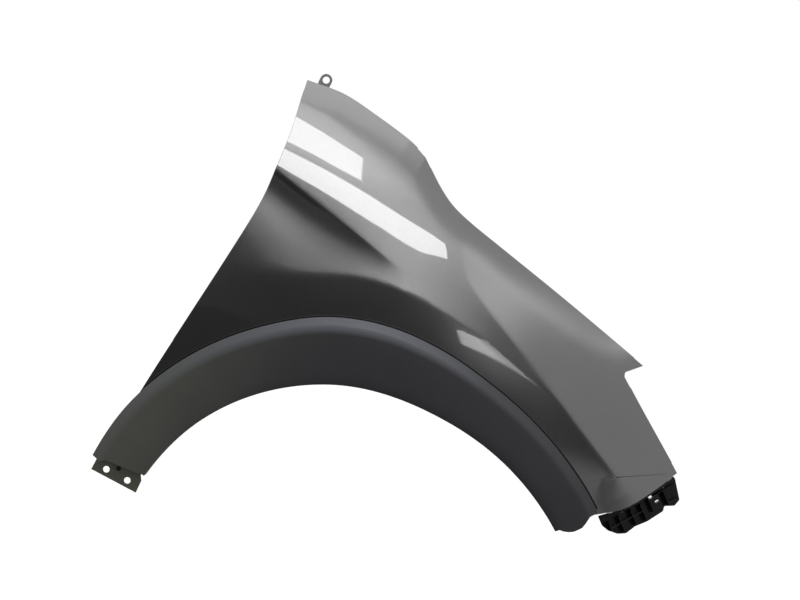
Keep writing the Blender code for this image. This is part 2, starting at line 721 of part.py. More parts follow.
flange_holes = bmesh.new()
for number, (place, way) in enumerate(screw_places(), start=1):
    bm = bmesh.new()
    turned(bm, place, way, ((-0.0080, 0.0008), (-0.0060, SCREW_SHANK), (0.0046 + GAP, SCREW_SHANK),
                            (0.0046 + GAP, SCREW_HEAD), (0.0062, SCREW_HEAD),
                            (0.0070, SCREW_HEAD - 0.0012)))
    bmesh.ops.recalc_face_normals(bm, faces=bm.faces)
    screw = finish(bm, "bracket_screw_%d" % number)
    paint(screw, "steel_black", (0.05, 0.05, 0.05), 1.0, 0.40)
    rod(flange_holes, place, way, SCREW_SHANK + 0.0005, 0.004)
flange_cutter = finish(flange_holes, "flange_cutter", smooth=False)
cut(panel, flange_cutter)


# Rear tab: a bent steel eye that stands on the bonnet-side shelf
def tab_mesh():
    bm = bmesh.new()
    x = TAB_PLACE
    eye = SHELF_HEIGHT + TAB_RISE
    top = skin_point(x, float(top_height(x))).y
    stand = top + 0.0235
    half = 0.5 * TAB_WIDTH
    floor = SHELF_HEIGHT + GAP + TAB_STEEL
    rows = [(stand + TAB_FOOT, floor, half * 0.85), (stand + 0.0040, floor, half * 0.85),
            (stand + 0.0012, floor + 0.0010, half * 0.88), (stand, floor + 0.0036, half * 0.9),
            (stand, eye - 0.020, half * 0.9), (stand, eye - 0.006, half)]
    for k in range(9):
        a = math.radians(10 * k)
        rows.append((stand, eye + half * math.sin(a), half * math.cos(a)))
    ladder = [[bm.verts.new((x - w, y, z)), bm.verts.new((x + w, y, z))] for y, z, w in rows]
    for lower, upper in zip(ladder, ladder[1:]):
        bm.faces.new((lower[0], upper[0], upper[1], lower[1]))
    bm.normal_update()
    return bm, Vector((x, stand, eye))


bm, eye_centre = tab_mesh()
tab = finish(bm, "rear_tab", smooth=False)
thicken(tab, TAB_STEEL)
bore = bmesh.new()
rod(bore, eye_centre, Vector((0, 1, 0)), 0.5 * TAB_HOLE, 0.012, sides=24)
cut(tab, finish(bore, "tab_bore", smooth=False))
paint(tab, "steel_zinc", (0.42, 0.42, 0.40), 1.0, 0.38)
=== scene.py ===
import math

import bmesh
import bpy
import numpy as np
from mathutils import Matrix, Vector
from mathutils.geometry import delaunay_2d_cdt


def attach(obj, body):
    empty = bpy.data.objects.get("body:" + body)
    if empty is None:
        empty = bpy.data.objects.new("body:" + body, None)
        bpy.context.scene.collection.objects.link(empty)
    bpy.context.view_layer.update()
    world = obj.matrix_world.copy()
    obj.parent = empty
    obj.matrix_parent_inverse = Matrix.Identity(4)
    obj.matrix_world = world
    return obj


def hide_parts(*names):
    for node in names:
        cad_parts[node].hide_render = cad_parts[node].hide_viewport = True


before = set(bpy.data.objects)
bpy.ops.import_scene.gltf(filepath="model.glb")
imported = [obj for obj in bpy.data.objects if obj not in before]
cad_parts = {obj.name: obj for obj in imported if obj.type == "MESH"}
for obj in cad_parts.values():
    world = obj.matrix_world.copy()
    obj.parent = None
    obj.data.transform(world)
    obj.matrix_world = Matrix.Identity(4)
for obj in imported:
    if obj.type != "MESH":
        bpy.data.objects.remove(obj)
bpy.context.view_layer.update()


# Steel fender panel. One deep-drawn sheet of 0.8 mm steel, painted grey metallic under clear
# coat, with a break line over the arch, a long crease behind it and a flat nose facet.
# Its edges are folded inboard, and it bolts down through the shelf beside the bonnet.
SHEET = 0.0008
ARCH_RADIUS = 0.395
GAP = 0.0004
# By bearing, in degrees up from straight ahead: what the arch edge, the seam and the break line
# add to the arch radius, and how roundly the break line turns
ARCH_WAVE = ((48, 0.016), (57, 0.0087), (70, 0.0012), (88, -0.0045), (118, 0.003), (150, 0.003),
             (172, -0.005))
MOULDING_WIDTH = ((48, 0.0960), (62, 0.0870), (73, 0.0845), (84, 0.0870), (96, 0.0985),
                  (106, 0.1090), (117, 0.1150), (130, 0.1110), (150, 0.1035), (160, 0.0975),
                  (173, 0.0840))
FLARE_RISE = ((48, 0.1520), (54, 0.1475), (57, 0.1427), (61, 0.1382), (66, 0.1362), (71, 0.1382),
              (76, 0.1385), (80, 0.1362), (87, 0.1385), (95, 0.1500), (103, 0.1680),
              (112, 0.1830), (123, 0.1900), (134, 0.2150), (150, 0.2600), (175, 0.3250))
FLARE_SOFT = ((50, 0.030), (55, 0.008), (60, 0.004), (65, 0.004), (90, 0.004), (115, 0.005),
              (122, 0.008), (130, 0.020), (142, 0.055))
FLARE_REAR = 130.0
FLARE_FRONT = 78.0
ARCH_REAR = 166.0
ARCH_FRONT = 51.5
# How far each form goes, and how steeply
FLARE_FACE = 0.010
FLARE_HEIGHT = 0.0135
FLARE_RUN = 0.075
TUCK = 0.045
LEAN = 0.62
LEAN_FROM = 0.400
LEAN_DROP = 0.090
NOSE_BEND = 0.42
NOSE_FROM = -0.060
FACET = 0.13
CREASE_DEPTH = 0.0090
CREASE_RUN = 0.038
FOLD_STEP = 0.0016
FOLD_WIDTH = 0.0032
FOLD_HEAL = 0.022
FOLD_SLOPE = 0.04
ROLL_BAND = 0.050
ROLL_BEND = 7.0
# From where to where each form fades in or out: along the car, out from the wheel centre, or
# down from the fold
LEAN_FADE = (-0.15, 0.30)
CREASE_FADE = (-0.40, -0.14)
FOLD_FADE = (0.296, 0.318)
FOLD_SPREAD = (0.250, 0.330)
FOLD_CLEAR = (0.47, 0.55)
FACET_BELOW = (-0.004, 0.045)
ROLL_FADE = (0.16, 0.27)
FOOT_FADE = (-0.30, -0.36)
FOOT_FADE_HEIGHT = (0.108, 0.078)
# How roundly each form starts
LEAN_ROUND = 0.04
NOSE_ROUND = 0.10
CREASE_ROUND = 0.0015
FACET_ROUND = 0.003
FACET_ROUND_LOW = 0.035
FACET_CORNER = 0.02
FOLD_ROUND = 0.002
ROLL_ROUND = 0.012
# Outline and feature lines in the side view, (forward, up) from the wheel centre
FOOT_REAR = (-0.468, 0.042)
FOOT_FRONT = (-0.384, 0.042)
FOOT_TOP = (-0.385, 0.064)
FOOT_SHOULDER = (-0.3915, 0.076)
DOOR_EDGE = ((-0.4665, 0.7925), (-0.4440, 0.6990), (-0.4330, 0.6150), (-0.4290, 0.5500),
             (-0.4335, 0.4500), (-0.4420, 0.3500), (-0.4505, 0.2550), (-0.4590, 0.1500),
             (-0.4680, 0.0700))
HOOD_LINE = ((-0.2230, 0.7700), (-0.2600, 0.7830), (-0.3300, 0.7945), (-0.4000, 0.8015),
             (-0.4665, 0.7925))
LAMP_CUT = ((0.2846, 0.6301), (0.1744, 0.6528), (0.0800, 0.6710), (-0.0400, 0.6930),
            (-0.1000, 0.7045), (-0.1400, 0.7160), (-0.1750, 0.7350), (-0.2230, 0.7700))
NOTCH = ((0.2611, 0.5969), (0.2590, 0.6045), (0.2661, 0.6120), (0.2846, 0.6301))
NOSE_EDGE = ((0.4246, 0.4921), (0.3244, 0.5552), (0.2611, 0.5969))
BUMPER_EDGE = ((0.3270, 0.3714), (0.3615, 0.3983), (0.3996, 0.4507), (0.4246, 0.4921))
FRONT_CREASE = ((-0.0750, 0.6150), (0.3110, 0.4429))
FRONT_RISE = (-0.1120, 0.6820)
FOLD = ((0.3120, 0.4350), (0.4120, 0.4874))
REAR_CREASE = ((-0.4290, 0.6266), (-0.1850, 0.5806))
PANEL_EDGE_INSET = 0.009
SHELF_DROP = 0.0555
SHELF_HEIGHT = max(p[1] for p in HOOD_LINE) - SHELF_DROP
SHELF_MIDDLE = -0.330
SHELF_SET = 0.018
SHELF_DEPTH = 0.034
SHELF_TRIM = 0.017
SHELF_TRIM_FROM = -0.430
SHELF_HOLES = (-0.405, -0.255)
SHELF_BOLT = 0.0085
# Rails of the flanges, from the panel's edge on: (inwards, inboard) for the arch, (inboard, above
# the shelf) for the shelf's wall, and (forward, inboard, up) for the rest
ARCH_FLANGE = ((0.0004, 0.0004), (0.0012, 0.0016), (0.0019, 0.0030), (0.0022, 0.0045),
               (0.0022, 0.0100), (0.0022, 0.0160))
BUMPER_FLANGE = ((0.0004, 0.0005, -0.0004), (0.0008, 0.0012, -0.0008), (0.0010, 0.0022, -0.0010),
                 (0.0010, 0.0140, -0.0010))
NOSE_FLANGE = ((0.0003, 0.0006, 0.0004), (0.0006, 0.0014, 0.0007), (0.0006, 0.0024, 0.0007),
               (-0.0020, 0.0130, -0.0030))
LAMP_FLANGE = ((0.0, 0.0008, 0.0005), (0.0, 0.0020, 0.0010), (0.0, 0.0034, 0.0009),
               (0.0, 0.0048, 0.0001), (0.0, 0.0060, -0.0010), (0.0, 0.0180, -0.0100))
HOOD_FLANGE = ((0.0, 0.0006, 0.0006), (0.0, 0.0018, 0.0013), (0.0, 0.0032, 0.0015),
               (0.0, 0.0046, 0.0010), (0.0, 0.0056, 0.0), (0.0, 0.0062, -0.0014))
SHELF_WALL = ((0.0142, 0.0060), (0.0150, 0.0030), (0.0162, 0.0008), (SHELF_SET, 0.0))
DOOR_FLANGE = ((-0.0004, 0.0005, 0.0), (-0.0008, 0.0014, 0.0), (-0.0008, 0.0026, 0.0),
               (-0.0004, 0.0042, 0.0), (0.0030, 0.0150, 0.0))
# How many steps of the mesh a flange keeps off a corner, and off the foot
CORNER_STEPS = 4
DOOR_FOOT_STEPS = 44
FOOT_HOLES = ((-0.4455, 0.0535), (-0.4060, 0.0535))
FOOT_BOLT = 0.0110
FOOT_SEAT = 0.030
FOOT_CLIP = (-0.4280, 0.0640)
FOOT_CLIP_HOLE = 0.0031
CLIP_ANGLES = (58, 73, 88, 103, 118, 133, 148, 161)
CLIP_RISE = 0.004
CLIP_HOLE = 0.0044
PANEL_STEP = 0.0052
CREASE_SIDE = 0.0022
CURVE_CUTS = 24
LINE_CLEARANCE = 0.55


def ramp(stops, angle):
    """smooth run through a few (angle, value) stops"""
    a = np.asarray(angle, dtype=float)
    t = np.array([s[0] for s in stops], dtype=float)
    v = np.array([s[1] for s in stops], dtype=float)
    slope = np.gradient(v, t)
    a = np.clip(a, t[0], t[-1])
    k = np.clip(np.searchsorted(t, a) - 1, 0, len(t) - 2)
    h = t[k + 1] - t[k]
    s = (a - t[k]) / h
    a0 = (1 + 2 * s) * (1 - s) ** 2 * v[k] + s * (1 - s) ** 2 * h * slope[k]
    a1 = s * s * (3 - 2 * s) * v[k + 1] + s * s * (s - 1) * h * slope[k + 1]
    return a0 + a1


def soft(value, width):
    """the positive part of a value with a rounded start"""
    return 0.5 * (value + np.sqrt(value * value + width * width))


def blend(low, high, value):
    """0 at the first value, 1 at the second, and smooth between"""
    t = np.clip((value - low) / (high - low), 0.0, 1.0)
    return t * t * (3.0 - 2.0 * t)


def arch_radius(angle):
    """how far the wheel arch's edge lies from the wheel centre"""
    return ARCH_RADIUS + ramp(ARCH_WAVE, angle)


def seam_radius(angle):
    """how far out the moulding meets the panel"""
    return ARCH_RADIUS + ramp(MOULDING_WIDTH, angle)


def flare_radius(angle):
    """how far out the break line over the arch runs"""
    return ARCH_RADIUS + ramp(FLARE_RISE, angle)


def panel_edge(angle):
    """how far out the panel ends, behind the moulding"""
    return arch_radius(angle) + PANEL_EDGE_INSET


def top_height(x):
    """height of the upper edge of the panel over its length"""
    points = sorted(set(HOOD_LINE) | set(LAMP_CUT))
    return np.interp(x, [p[0] for p in points], [p[1] for p in points])


def crease_height(x):
    """height of the rear crease over the length of the panel"""
    (xa, za), (xb, zb) = REAR_CREASE
    return za + (x - xa) * (zb - za) / (xb - xa)


def side_of(point, ahead, x, z):
    """distance from a line, positive above and in front of it"""
    dx = ahead[0] - point[0]
    dz = ahead[1] - point[1]
    size = math.hypot(dx, dz)
    return (-(x - point[0]) * dz + (z - point[1]) * dx) / size


def body_side(x, z):
    """how far inboard the side of the car lies at a place, without the foot"""
    x = np.asarray(x, dtype=float)
    z = np.asarray(z, dtype=float)
    radius = np.hypot(x, z)
    angle = np.degrees(np.arctan2(z, x))
    lean_from = LEAN_FROM - LEAN_DROP * blend(*LEAN_FADE, x)
    y = FLARE_FACE + LEAN * soft(z - lean_from, LEAN_ROUND) ** 2
    y = y + NOSE_BEND * soft(x - NOSE_FROM, NOSE_ROUND) ** 2
    over = radius - flare_radius(angle)
    round_off = ramp(FLARE_SOFT, angle)
    y = y + FLARE_HEIGHT * (1.0 - np.exp(-soft(over, round_off) / FLARE_RUN))
    y = y + TUCK * soft(-over, round_off)
    below = soft(crease_height(x) - z, CREASE_ROUND) / CREASE_RUN
    fade = 1.0 - blend(*CREASE_FADE, x)
    y = y + CREASE_DEPTH * fade * below * np.exp(1.0 - below)
    first = side_of(*FRONT_CREASE, x, z)
    second = side_of(FRONT_RISE, FRONT_CREASE[0], x, z)
    both = first - soft(first - second, FACET_CORNER)
    under = -side_of(*FOLD, x, z)
    y = y + FACET * soft(both, blend(*FACET_BELOW, under) * FACET_ROUND_LOW + FACET_ROUND)
    notch = blend(0.0, FOLD_WIDTH, under) * np.exp(-np.maximum(under, 0.0) / FOLD_HEAL)
    drop = (FOLD_STEP * notch * blend(*FOLD_FADE, x)
            + FOLD_SLOPE * soft(under, FOLD_ROUND) * blend(*FOLD_SPREAD, x))
    y = y + drop * blend(*FOLD_CLEAR, radius)
    into_roll = soft(z - (top_height(x) - ROLL_BAND), ROLL_ROUND)
    return y + 0.5 * ROLL_BEND * into_roll ** 2 * (1.0 - blend(*ROLL_FADE, x))


def skin(x, z):
    """how far inboard the outer face of the panel lies, with the set-back sill foot"""
    y = body_side(x, z)
    flat = blend(*FOOT_FADE_HEIGHT, np.asarray(z, dtype=float)) * blend(*FOOT_FADE, x)
    return y * (1.0 - flat) + FOOT_SEAT * flat


def skin_point(x, z):
    """a place on the outer face of the panel"""
    return Vector((x, float(skin(x, z)), z))


def skin_slopes(x, z):
    """how fast the outer face runs inboard, forward and upward"""
    e = 0.0004
    forward = (skin(x + e, z) - skin(x - e, z)) / (2 * e)
    upward = (skin(x, z + e) - skin(x, z - e)) / (2 * e)
    return forward, upward


# The part's origin: the seat under the shelf, between its two bolt holes
ORIGIN = Vector((SHELF_MIDDLE,
                 skin_point(SHELF_MIDDLE, float(top_height(SHELF_MIDDLE))).y + SHELF_SET
                 + 0.5 * SHELF_DEPTH,
                 SHELF_HEIGHT - SHEET))


def smooth_line(points, step):
    """a curve through a few points, cut into steps of about one length"""
    p = [Vector(q) for q in points]
    fine = []
    for i in range(len(p) - 1):
        before = p[i - 1] if i > 0 else p[i] * 2 - p[i + 1]
        after = p[i + 2] if i + 2 < len(p) else p[i + 1] * 2 - p[i]
        for k in range(CURVE_CUTS):
            t = k / CURVE_CUTS
            c = (p[i] * 2 + (p[i + 1] - before) * t
                 + (before * 2 - p[i] * 5 + p[i + 1] * 4 - after) * t * t
                 + (p[i] * 3 - before - p[i + 1] * 3 + after) * t * t * t) * 0.5
            fine.append(c)
    fine.append(p[-1])
    run = [0.0]
    for a, b in zip(fine, fine[1:]):
        run.append(run[-1] + (b - a).length)
    count = max(1, round(run[-1] / step))
    at = np.linspace(0.0, run[-1], count + 1)
    xs = np.interp(at, run, [f[0] for f in fine])
    zs = np.interp(at, run, [f[1] for f in fine])
    return list(zip(xs.tolist(), zs.tolist()))


def beside(line, width):
    """a copy of a straight line, moved to its upper side by some width"""
    dx, dz = line[-1][0] - line[0][0], line[-1][1] - line[0][1]
    k = width / math.hypot(dx, dz)
    return [(x - dz * k, z + dx * k) for x, z in line]


def around(radius_of, start, stop, step):
    """points round the wheel centre between two angles"""
    mean = float(radius_of(0.5 * (start + stop)))
    count = max(2, round(abs(stop - start) * math.pi / 180 * mean / step))
    out = []
    for a in np.linspace(start, stop, count + 1):
        r = float(radius_of(a))
        out.append((r * math.cos(math.radians(a)), r * math.sin(math.radians(a))))
    return out


def clip_spot(angle):
    """the middle of a push clip, halfway across the moulding"""
    r = 0.5 * (float(arch_radius(angle)) + float(seam_radius(angle))) + CLIP_RISE
    return r * math.cos(math.radians(angle)), r * math.sin(math.radians(angle))


def ring(x, z, radius, sides=24):
    """a round hole as a closed run of points"""
    turns = [2 * math.pi * k / sides for k in range(sides)]
    return [(x + radius * math.cos(a), z + radius * math.sin(a)) for a in turns]


def inside(outline, x, z):
    """which of the given places lie inside a closed outline"""
    hit = np.zeros(len(x), dtype=bool)
    for (xa, za), (xb, zb) in zip(outline, outline[1:] + outline[:1]):
        if za == zb:
            continue
        hit ^= ((za > z) != (zb > z)) & (x < (xb - xa) * (z - za) / (zb - za) + xa)
    return hit


def reach(lines, x, z):
    """distance from each place to the nearest of some open lines"""
    best = np.full(len(x), np.inf)
    for line in lines:
        for (xa, za), (xb, zb) in zip(line, line[1:]):
            dx, dz = xb - xa, zb - za
            size = dx * dx + dz * dz
            t = np.clip(((x - xa) * dx + (z - za) * dz) / size, 0, 1)
            best = np.minimum(best, np.hypot(x - xa - t * dx, z - za - t * dz))
    return best


def sheet_grid(outline, lines, holes, step):
    """cuts a flat outline with holes into even triangles that keep to some drawn lines"""
    total = len(outline)
    points = list(outline)
    edges = [(k, (k + 1) % total) for k in range(total)]
    for line in lines:
        first = len(points)
        points.extend(line)
        edges.extend((first + k, first + k + 1) for k in range(len(line) - 1))
    for hole in holes:
        first = len(points)
        points.extend(hole)
        edges.extend((first + k, first + (k + 1) % len(hole)) for k in range(len(hole)))
    low_x, high_x = min(p[0] for p in outline), max(p[0] for p in outline)
    low_z, high_z = min(p[1] for p in outline), max(p[1] for p in outline)
    rows = np.arange(low_z, high_z, step * math.sqrt(0.75))
    columns = np.arange(low_x, high_x, step)
    x = np.concatenate([columns + 0.5 * step * (k % 2) for k in range(len(rows))])
    z = np.repeat(rows, len(columns))
    keep = inside(outline, x, z)
    x, z = x[keep], z[keep]
    drawn = [loop + loop[:1] for loop in [outline] + holes] + lines
    keep = reach(drawn, x, z) > LINE_CLEARANCE * step
    points.extend(zip(x[keep].tolist(), z[keep].tolist()))
    flat = [Vector(p) for p in points]
    verts, _, faces, source, _, _ = delaunay_2d_cdt(flat, edges, [list(range(total))], 1, 1e-7)
    place = np.array([(v.x, v.y) for v in verts])
    corner = np.array(faces)
    middle = place[corner].mean(axis=1)
    good = inside(outline, middle[:, 0], middle[:, 1])
    for hole in holes:
        good &= ~inside(hole, middle[:, 0], middle[:, 1])
    where = {old: k for k, origins in enumerate(source) for old in origins}
    return place, corner[good], where


def shift(dx, dy, dz):
    """a rail that runs beside the edge"""
    return lambda c: Vector((c.x + dx, c.y + dy, c.z + dz))


def arch_fold(inward, deep):
    """a rail that runs inside the arch edge"""
    def place(c):
        size = math.hypot(c.x, c.z)
        return Vector((c.x * (1 - inward / size), c.y + deep, c.z * (1 - inward / size)))
    return place


def level(dy, dz):
    """a rail of the shelf, which is cut back ahead of the door edge"""
    def place(c):
        trim = SHELF_TRIM * float(blend(SHELF_TRIM_FROM, HOOD_LINE[-1][0], c.x))
        return Vector((c.x + trim, c.y + dy, SHELF_HEIGHT + dz))
    return place


def fold_off(bm, edge, rails):
    """folds a flange off a run of edge vertices, one row of faces for each rail"""
    row = edge
    for rail in rails:
        following = [bm.verts.new(rail(v.co)) for v in edge]
        for k in range(len(edge) - 1):
            bm.faces.new((row[k], following[k], following[k + 1], row[k + 1]))
        row = following
    return row


def shelf_plate(bm, shelf, step):
    """the level plate that runs inboard from the shelf's wall, with its bolt holes"""
    rim = [(v.co.x, v.co.y) for v in shelf]
    rim += [(v.co.x, v.co.y + SHELF_DEPTH) for v in reversed(shelf)]
    bores = []
    for x in SHELF_HOLES:
        near = min(shelf, key=lambda v: abs(v.co.x - x))
        bores.append(ring(x, near.co.y + 0.5 * SHELF_DEPTH, 0.5 * SHELF_BOLT))
    flat, corner, where = sheet_grid(rim, [], bores, step)
    known = {where[k]: v for k, v in enumerate(shelf)}
    for tri in corner.tolist():
        for i in tri:
            if i not in known:
                known[i] = bm.verts.new((flat[i][0], flat[i][1], SHELF_HEIGHT))
        a, b, c = (known[i] for i in tri)
        turn = (b.co - a.co).cross(c.co - a.co).z
        bm.faces.new((a, b, c) if turn > 0 else (a, c, b))


def panel_sheet(step):
    """the outer face of the panel with its flanges, and the exact normals of the face"""
    arch = around(panel_edge, ARCH_REAR, ARCH_FRONT, step)
    runs = {"foot": smooth_line((FOOT_REAR, FOOT_FRONT), step),
            "foot_front": smooth_line((FOOT_FRONT, FOOT_TOP), step),
            "shoulder": smooth_line((FOOT_TOP, FOOT_SHOULDER, arch[0]), step),
            "arch": arch,
            "arch_end": smooth_line((arch[-1], BUMPER_EDGE[0]), step),
            "bumper": smooth_line(BUMPER_EDGE, step),
            "nose": smooth_line(NOSE_EDGE, step),
            "notch": smooth_line(NOTCH, step * 0.5),
            "lamp": smooth_line(LAMP_CUT, step),
            "hood": smooth_line(HOOD_LINE, step),
            "door": smooth_line(DOOR_EDGE, step),
            "door_end": smooth_line((DOOR_EDGE[-1], FOOT_REAR), step)}
    outline, spans = [], {}
    for name, run in runs.items():
        spans[name] = (len(outline), len(outline) + len(run) - 1)
        outline.extend(run[:-1])
    lines = [around(flare_radius, FLARE_REAR, FLARE_FRONT, step),
             smooth_line((FRONT_RISE, FRONT_CREASE[0]), step)[1:-1]]
    for crease in (smooth_line(REAR_CREASE, step)[2:], smooth_line(FRONT_CREASE, step)[2:-2]):
        lines += [beside(crease, k * CREASE_SIDE) for k in (-1, 0, 1)]
    fold = smooth_line(FOLD, step)[2:-2]
    lines += [beside(fold, -k * FOLD_WIDTH / 4) for k in range(5)]
    holes = [ring(x, z, 0.5 * FOOT_BOLT) for x, z in FOOT_HOLES]
    holes.append(ring(*FOOT_CLIP, FOOT_CLIP_HOLE))
    holes.extend(ring(*clip_spot(a), CLIP_HOLE) for a in CLIP_ANGLES)
    place, corner, where = sheet_grid(outline, lines, holes, step)
    used = np.unique(corner)
    number = {int(k): i for i, k in enumerate(used)}
    x, z = place[used, 0], place[used, 1]
    y = skin(x, z)
    bm = bmesh.new()
    made = [bm.verts.new(c) for c in zip(x.tolist(), y.tolist(), z.tolist())]
    for tri in corner.tolist():
        a, b, c = (made[number[i]] for i in tri)
        turn = (b.co - a.co).cross(c.co - a.co).y
        bm.faces.new((a, b, c) if turn < 0 else (a, c, b))
    forward, upward = skin_slopes(x, z)
    exact = np.stack((forward, -np.ones_like(forward), upward), axis=1)
    exact /= np.linalg.norm(exact, axis=1, keepdims=True)

    def edge_of(name, skip_last=CORNER_STEPS):
        first, last = spans[name]
        steps = range(first + CORNER_STEPS, last + 1 - skip_last)
        return [made[number[where[k % len(outline)]]] for k in steps]

    fold_off(bm, edge_of("arch"), [arch_fold(*rail) for rail in ARCH_FLANGE])
    for name, flange in (("bumper", BUMPER_FLANGE), ("nose", NOSE_FLANGE), ("lamp", LAMP_FLANGE)):
        fold_off(bm, edge_of(name), [shift(*rail) for rail in flange])
    shelf = fold_off(bm, edge_of("hood", 0), [shift(*rail) for rail in HOOD_FLANGE]
                     + [level(*rail) for rail in SHELF_WALL])
    fold_off(bm, edge_of("door", DOOR_FOOT_STEPS), [shift(*rail) for rail in DOOR_FLANGE])
    shelf_plate(bm, shelf, step)
    return bm, exact


def closed_sheet(bm, wall, name, exact=None):
    """gives an open sheet its thickness and keeps the drawn surface's true normals"""
    bm.verts.index_update()
    bm.normal_update()
    count = len(bm.verts)
    place = np.array([v.co[:] for v in bm.verts])
    normal = np.array([v.normal[:] for v in bm.verts])
    if exact is not None:
        normal[:len(exact)] = exact
    faces = [[v.index for v in f.verts] for f in bm.faces]
    open_loops = [e.link_loops[0] for e in bm.edges if len(e.link_faces) == 1]
    rim = [(loop.vert.index, loop.link_loop_next.vert.index) for loop in open_loops]
    bm.free()
    back = place - normal * wall
    back_faces = [[count + i for i in reversed(f)] for f in faces]
    rim_faces = [[b, a, count + a, count + b] for a, b in rim]
    mesh = bpy.data.meshes.new(name)
    mesh.from_pydata(np.vstack((place, back)).tolist(), [], faces + back_faces + rim_faces)
    mesh.update()
    mesh.shade_smooth()
    split = np.vstack((normal, -normal))[loop_corners(mesh)]
    flat = np.array([p.normal[:] for p in mesh.polygons[-len(rim_faces):]])
    split[-4 * len(rim_faces):] = np.repeat(flat, 4, axis=0)
    mesh.normals_split_custom_set(split.tolist())
    return mesh


def loop_corners(mesh):
    """the vertex of every corner of every face"""
    loops = np.empty(len(mesh.loops), dtype=np.int32)
    mesh.loops.foreach_get("vertex_index", loops)
    return loops


def mark_sides(mesh):
    """a map on the mesh that is 1 on the inner side of the sheet and 0 elsewhere"""
    corners = np.empty(len(mesh.polygons), dtype=np.int32)
    mesh.polygons.foreach_get("loop_total", corners)
    behind = loop_corners(mesh) >= len(mesh.vertices) // 2
    whole = np.minimum.reduceat(behind, np.concatenate(([0], np.cumsum(corners)[:-1])))
    inner = np.repeat(whole, corners).astype(np.float32)
    mesh.uv_layers.new(name="side").uv.foreach_set("vector", np.repeat(inner, 2))


def put(mesh, name):
    """an object of the scene, moved from the wheel centre to the part's origin"""
    mesh.transform(Matrix.Translation(-ORIGIN))
    obj = bpy.data.objects.new(name, mesh)
    bpy.context.scene.collection.objects.link(obj)
    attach(obj, "root")
    return obj


class Value:
    """an output socket, which can stand in a sum where it carries a number"""

    def __init__(self, nodes, socket):
        self.nodes = nodes
        self.socket = socket

    def work(self, operation, first, second):
        return self.nodes.node("ShaderNodeMath", {"operation": operation}, {0: first, 1: second})

    def most(self, other):
        return self.work("MAXIMUM", self, other)

    def __add__(self, other):
        return self.work("ADD", self, other)

    def __radd__(self, other):
        return self.work("ADD", other, self)

    def __sub__(self, other):
        return self.work("SUBTRACT", self, other)

    def __rsub__(self, other):
        return self.work("SUBTRACT", other, self)

    def __mul__(self, other):
        return self.work("MULTIPLY", self, other)

    def __rmul__(self, other):
        return self.work("MULTIPLY", other, self)


class Nodes:
    """the nodes of a material or of the world, which one method makes"""

    def __init__(self, owner):
        owner.use_nodes = True
        self.tree = owner.node_tree

    def give(self, socket, value):
        """links a socket to a value, or sets it to a number or a colour"""
        if isinstance(value, Value):
            self.tree.links.new(value.socket, socket)
        else:
            socket.default_value = value

    def node(self, kind, settings=None, sockets=None, out=0):
        """makes a node with its settings first, then its sockets, and hands over one output"""
        made = self.tree.nodes.new(kind)
        for key, value in (settings or {}).items():
            if key == "stops":
                elements = made.color_ramp.elements
                while len(elements) < len(value):
                    elements.new(0.5)
                for element, (spot, grey) in zip(elements, value):
                    element.position = spot
                    element.color = (grey, grey, grey, 1.0)
            else:
                setattr(made, key, value)
        for key, value in (sockets or {}).items():
            self.give(made.inputs[key], value)
        return Value(self, made.outputs[out])

    def place(self):
        return self.node("ShaderNodeTexCoord", out="Object")

    def on_map(self, axis):
        """how far across or up the mesh's own map a place lies"""
        spot = self.node("ShaderNodeTexCoord", out="UV")
        return self.node("ShaderNodeSeparateXYZ", {}, {0: spot}, out=axis)

    def fade(self, value, low, high):
        """0 at the first value, 1 at the second, and smooth between"""
        return self.node("ShaderNodeMapRange", {"interpolation_type": "SMOOTHSTEP"},
                         {"Value": value, "From Min": low, "From Max": high})

    def noise(self, scale, detail=3.0, rough=0.5):
        return self.node("ShaderNodeTexNoise", {}, {"Vector": self.place(), "Scale": scale,
                                                    "Detail": detail, "Roughness": rough})

    def cells(self, scale):
        return self.node("ShaderNodeTexVoronoi", {}, {"Vector": self.place(), "Scale": scale})

    def mix(self, share, first, second):
        """a colour between two: sockets 6 and 7 and output 2 are the Mix node's colours"""
        return self.node("ShaderNodeMix", {"data_type": "RGBA"},
                         {"Factor": share, 6: first, 7: second}, out=2)


class Finish(Nodes):
    """one surface finish: a principled shader and the nodes that vary it"""

    def __init__(self, name, constants=None):
        self.material = bpy.data.materials.new(name)
        super().__init__(self.material)
        self.shader = self.tree.nodes["Principled BSDF"]
        for key, value in (constants or {}).items():
            self.give(self.shader.inputs[key], value)

    def feed(self, name, value):
        self.give(self.shader.inputs[name], value)

    def bump(self, height, strength, distance=0.0002):
        self.feed("Normal", self.node("ShaderNodeBump", {}, {"Height": height, "Strength": strength,
                                                             "Distance": distance}))


PAINT_LIGHT = (0.180, 0.180, 0.181, 1.0)
PAINT_DARK = (0.128, 0.128, 0.129, 1.0)
# Sill foot below the moulding: dull olive-grey in place of the metallic paint, a painted reflection
# of a dark olive ground. The inner side of the sheet is dull grey primer.
FOOT_REFLECTION_LIGHT = (0.105, 0.109, 0.080, 1.0)
FOOT_REFLECTION_DARK = (0.070, 0.073, 0.054, 1.0)
INNER_LIGHT = (0.230, 0.232, 0.228, 1.0)
INNER_DARK = (0.120, 0.124, 0.118, 1.0)
FOOT_REFLECTION_TOP = 0.080 - ORIGIN.z
FOOT_REFLECTION_EDGE = 0.006
paint = Finish("grey_metallic_paint", {"Coat Roughness": 0.02, "Coat IOR": 1.85})
flake = paint.cells(1500.0)
cloud = paint.noise(9.0)
height_on_panel = paint.node("ShaderNodeSeparateXYZ", {}, {0: paint.place()}, out="Z")
on_foot = paint.fade(height_on_panel, FOOT_REFLECTION_TOP + FOOT_REFLECTION_EDGE, FOOT_REFLECTION_TOP)
primer_and_foot_share = on_foot.most(paint.on_map("X"))
mottled = paint.noise(160.0, 4.0, 0.6)
drift = paint.noise(7.0, 3.0, 0.6)
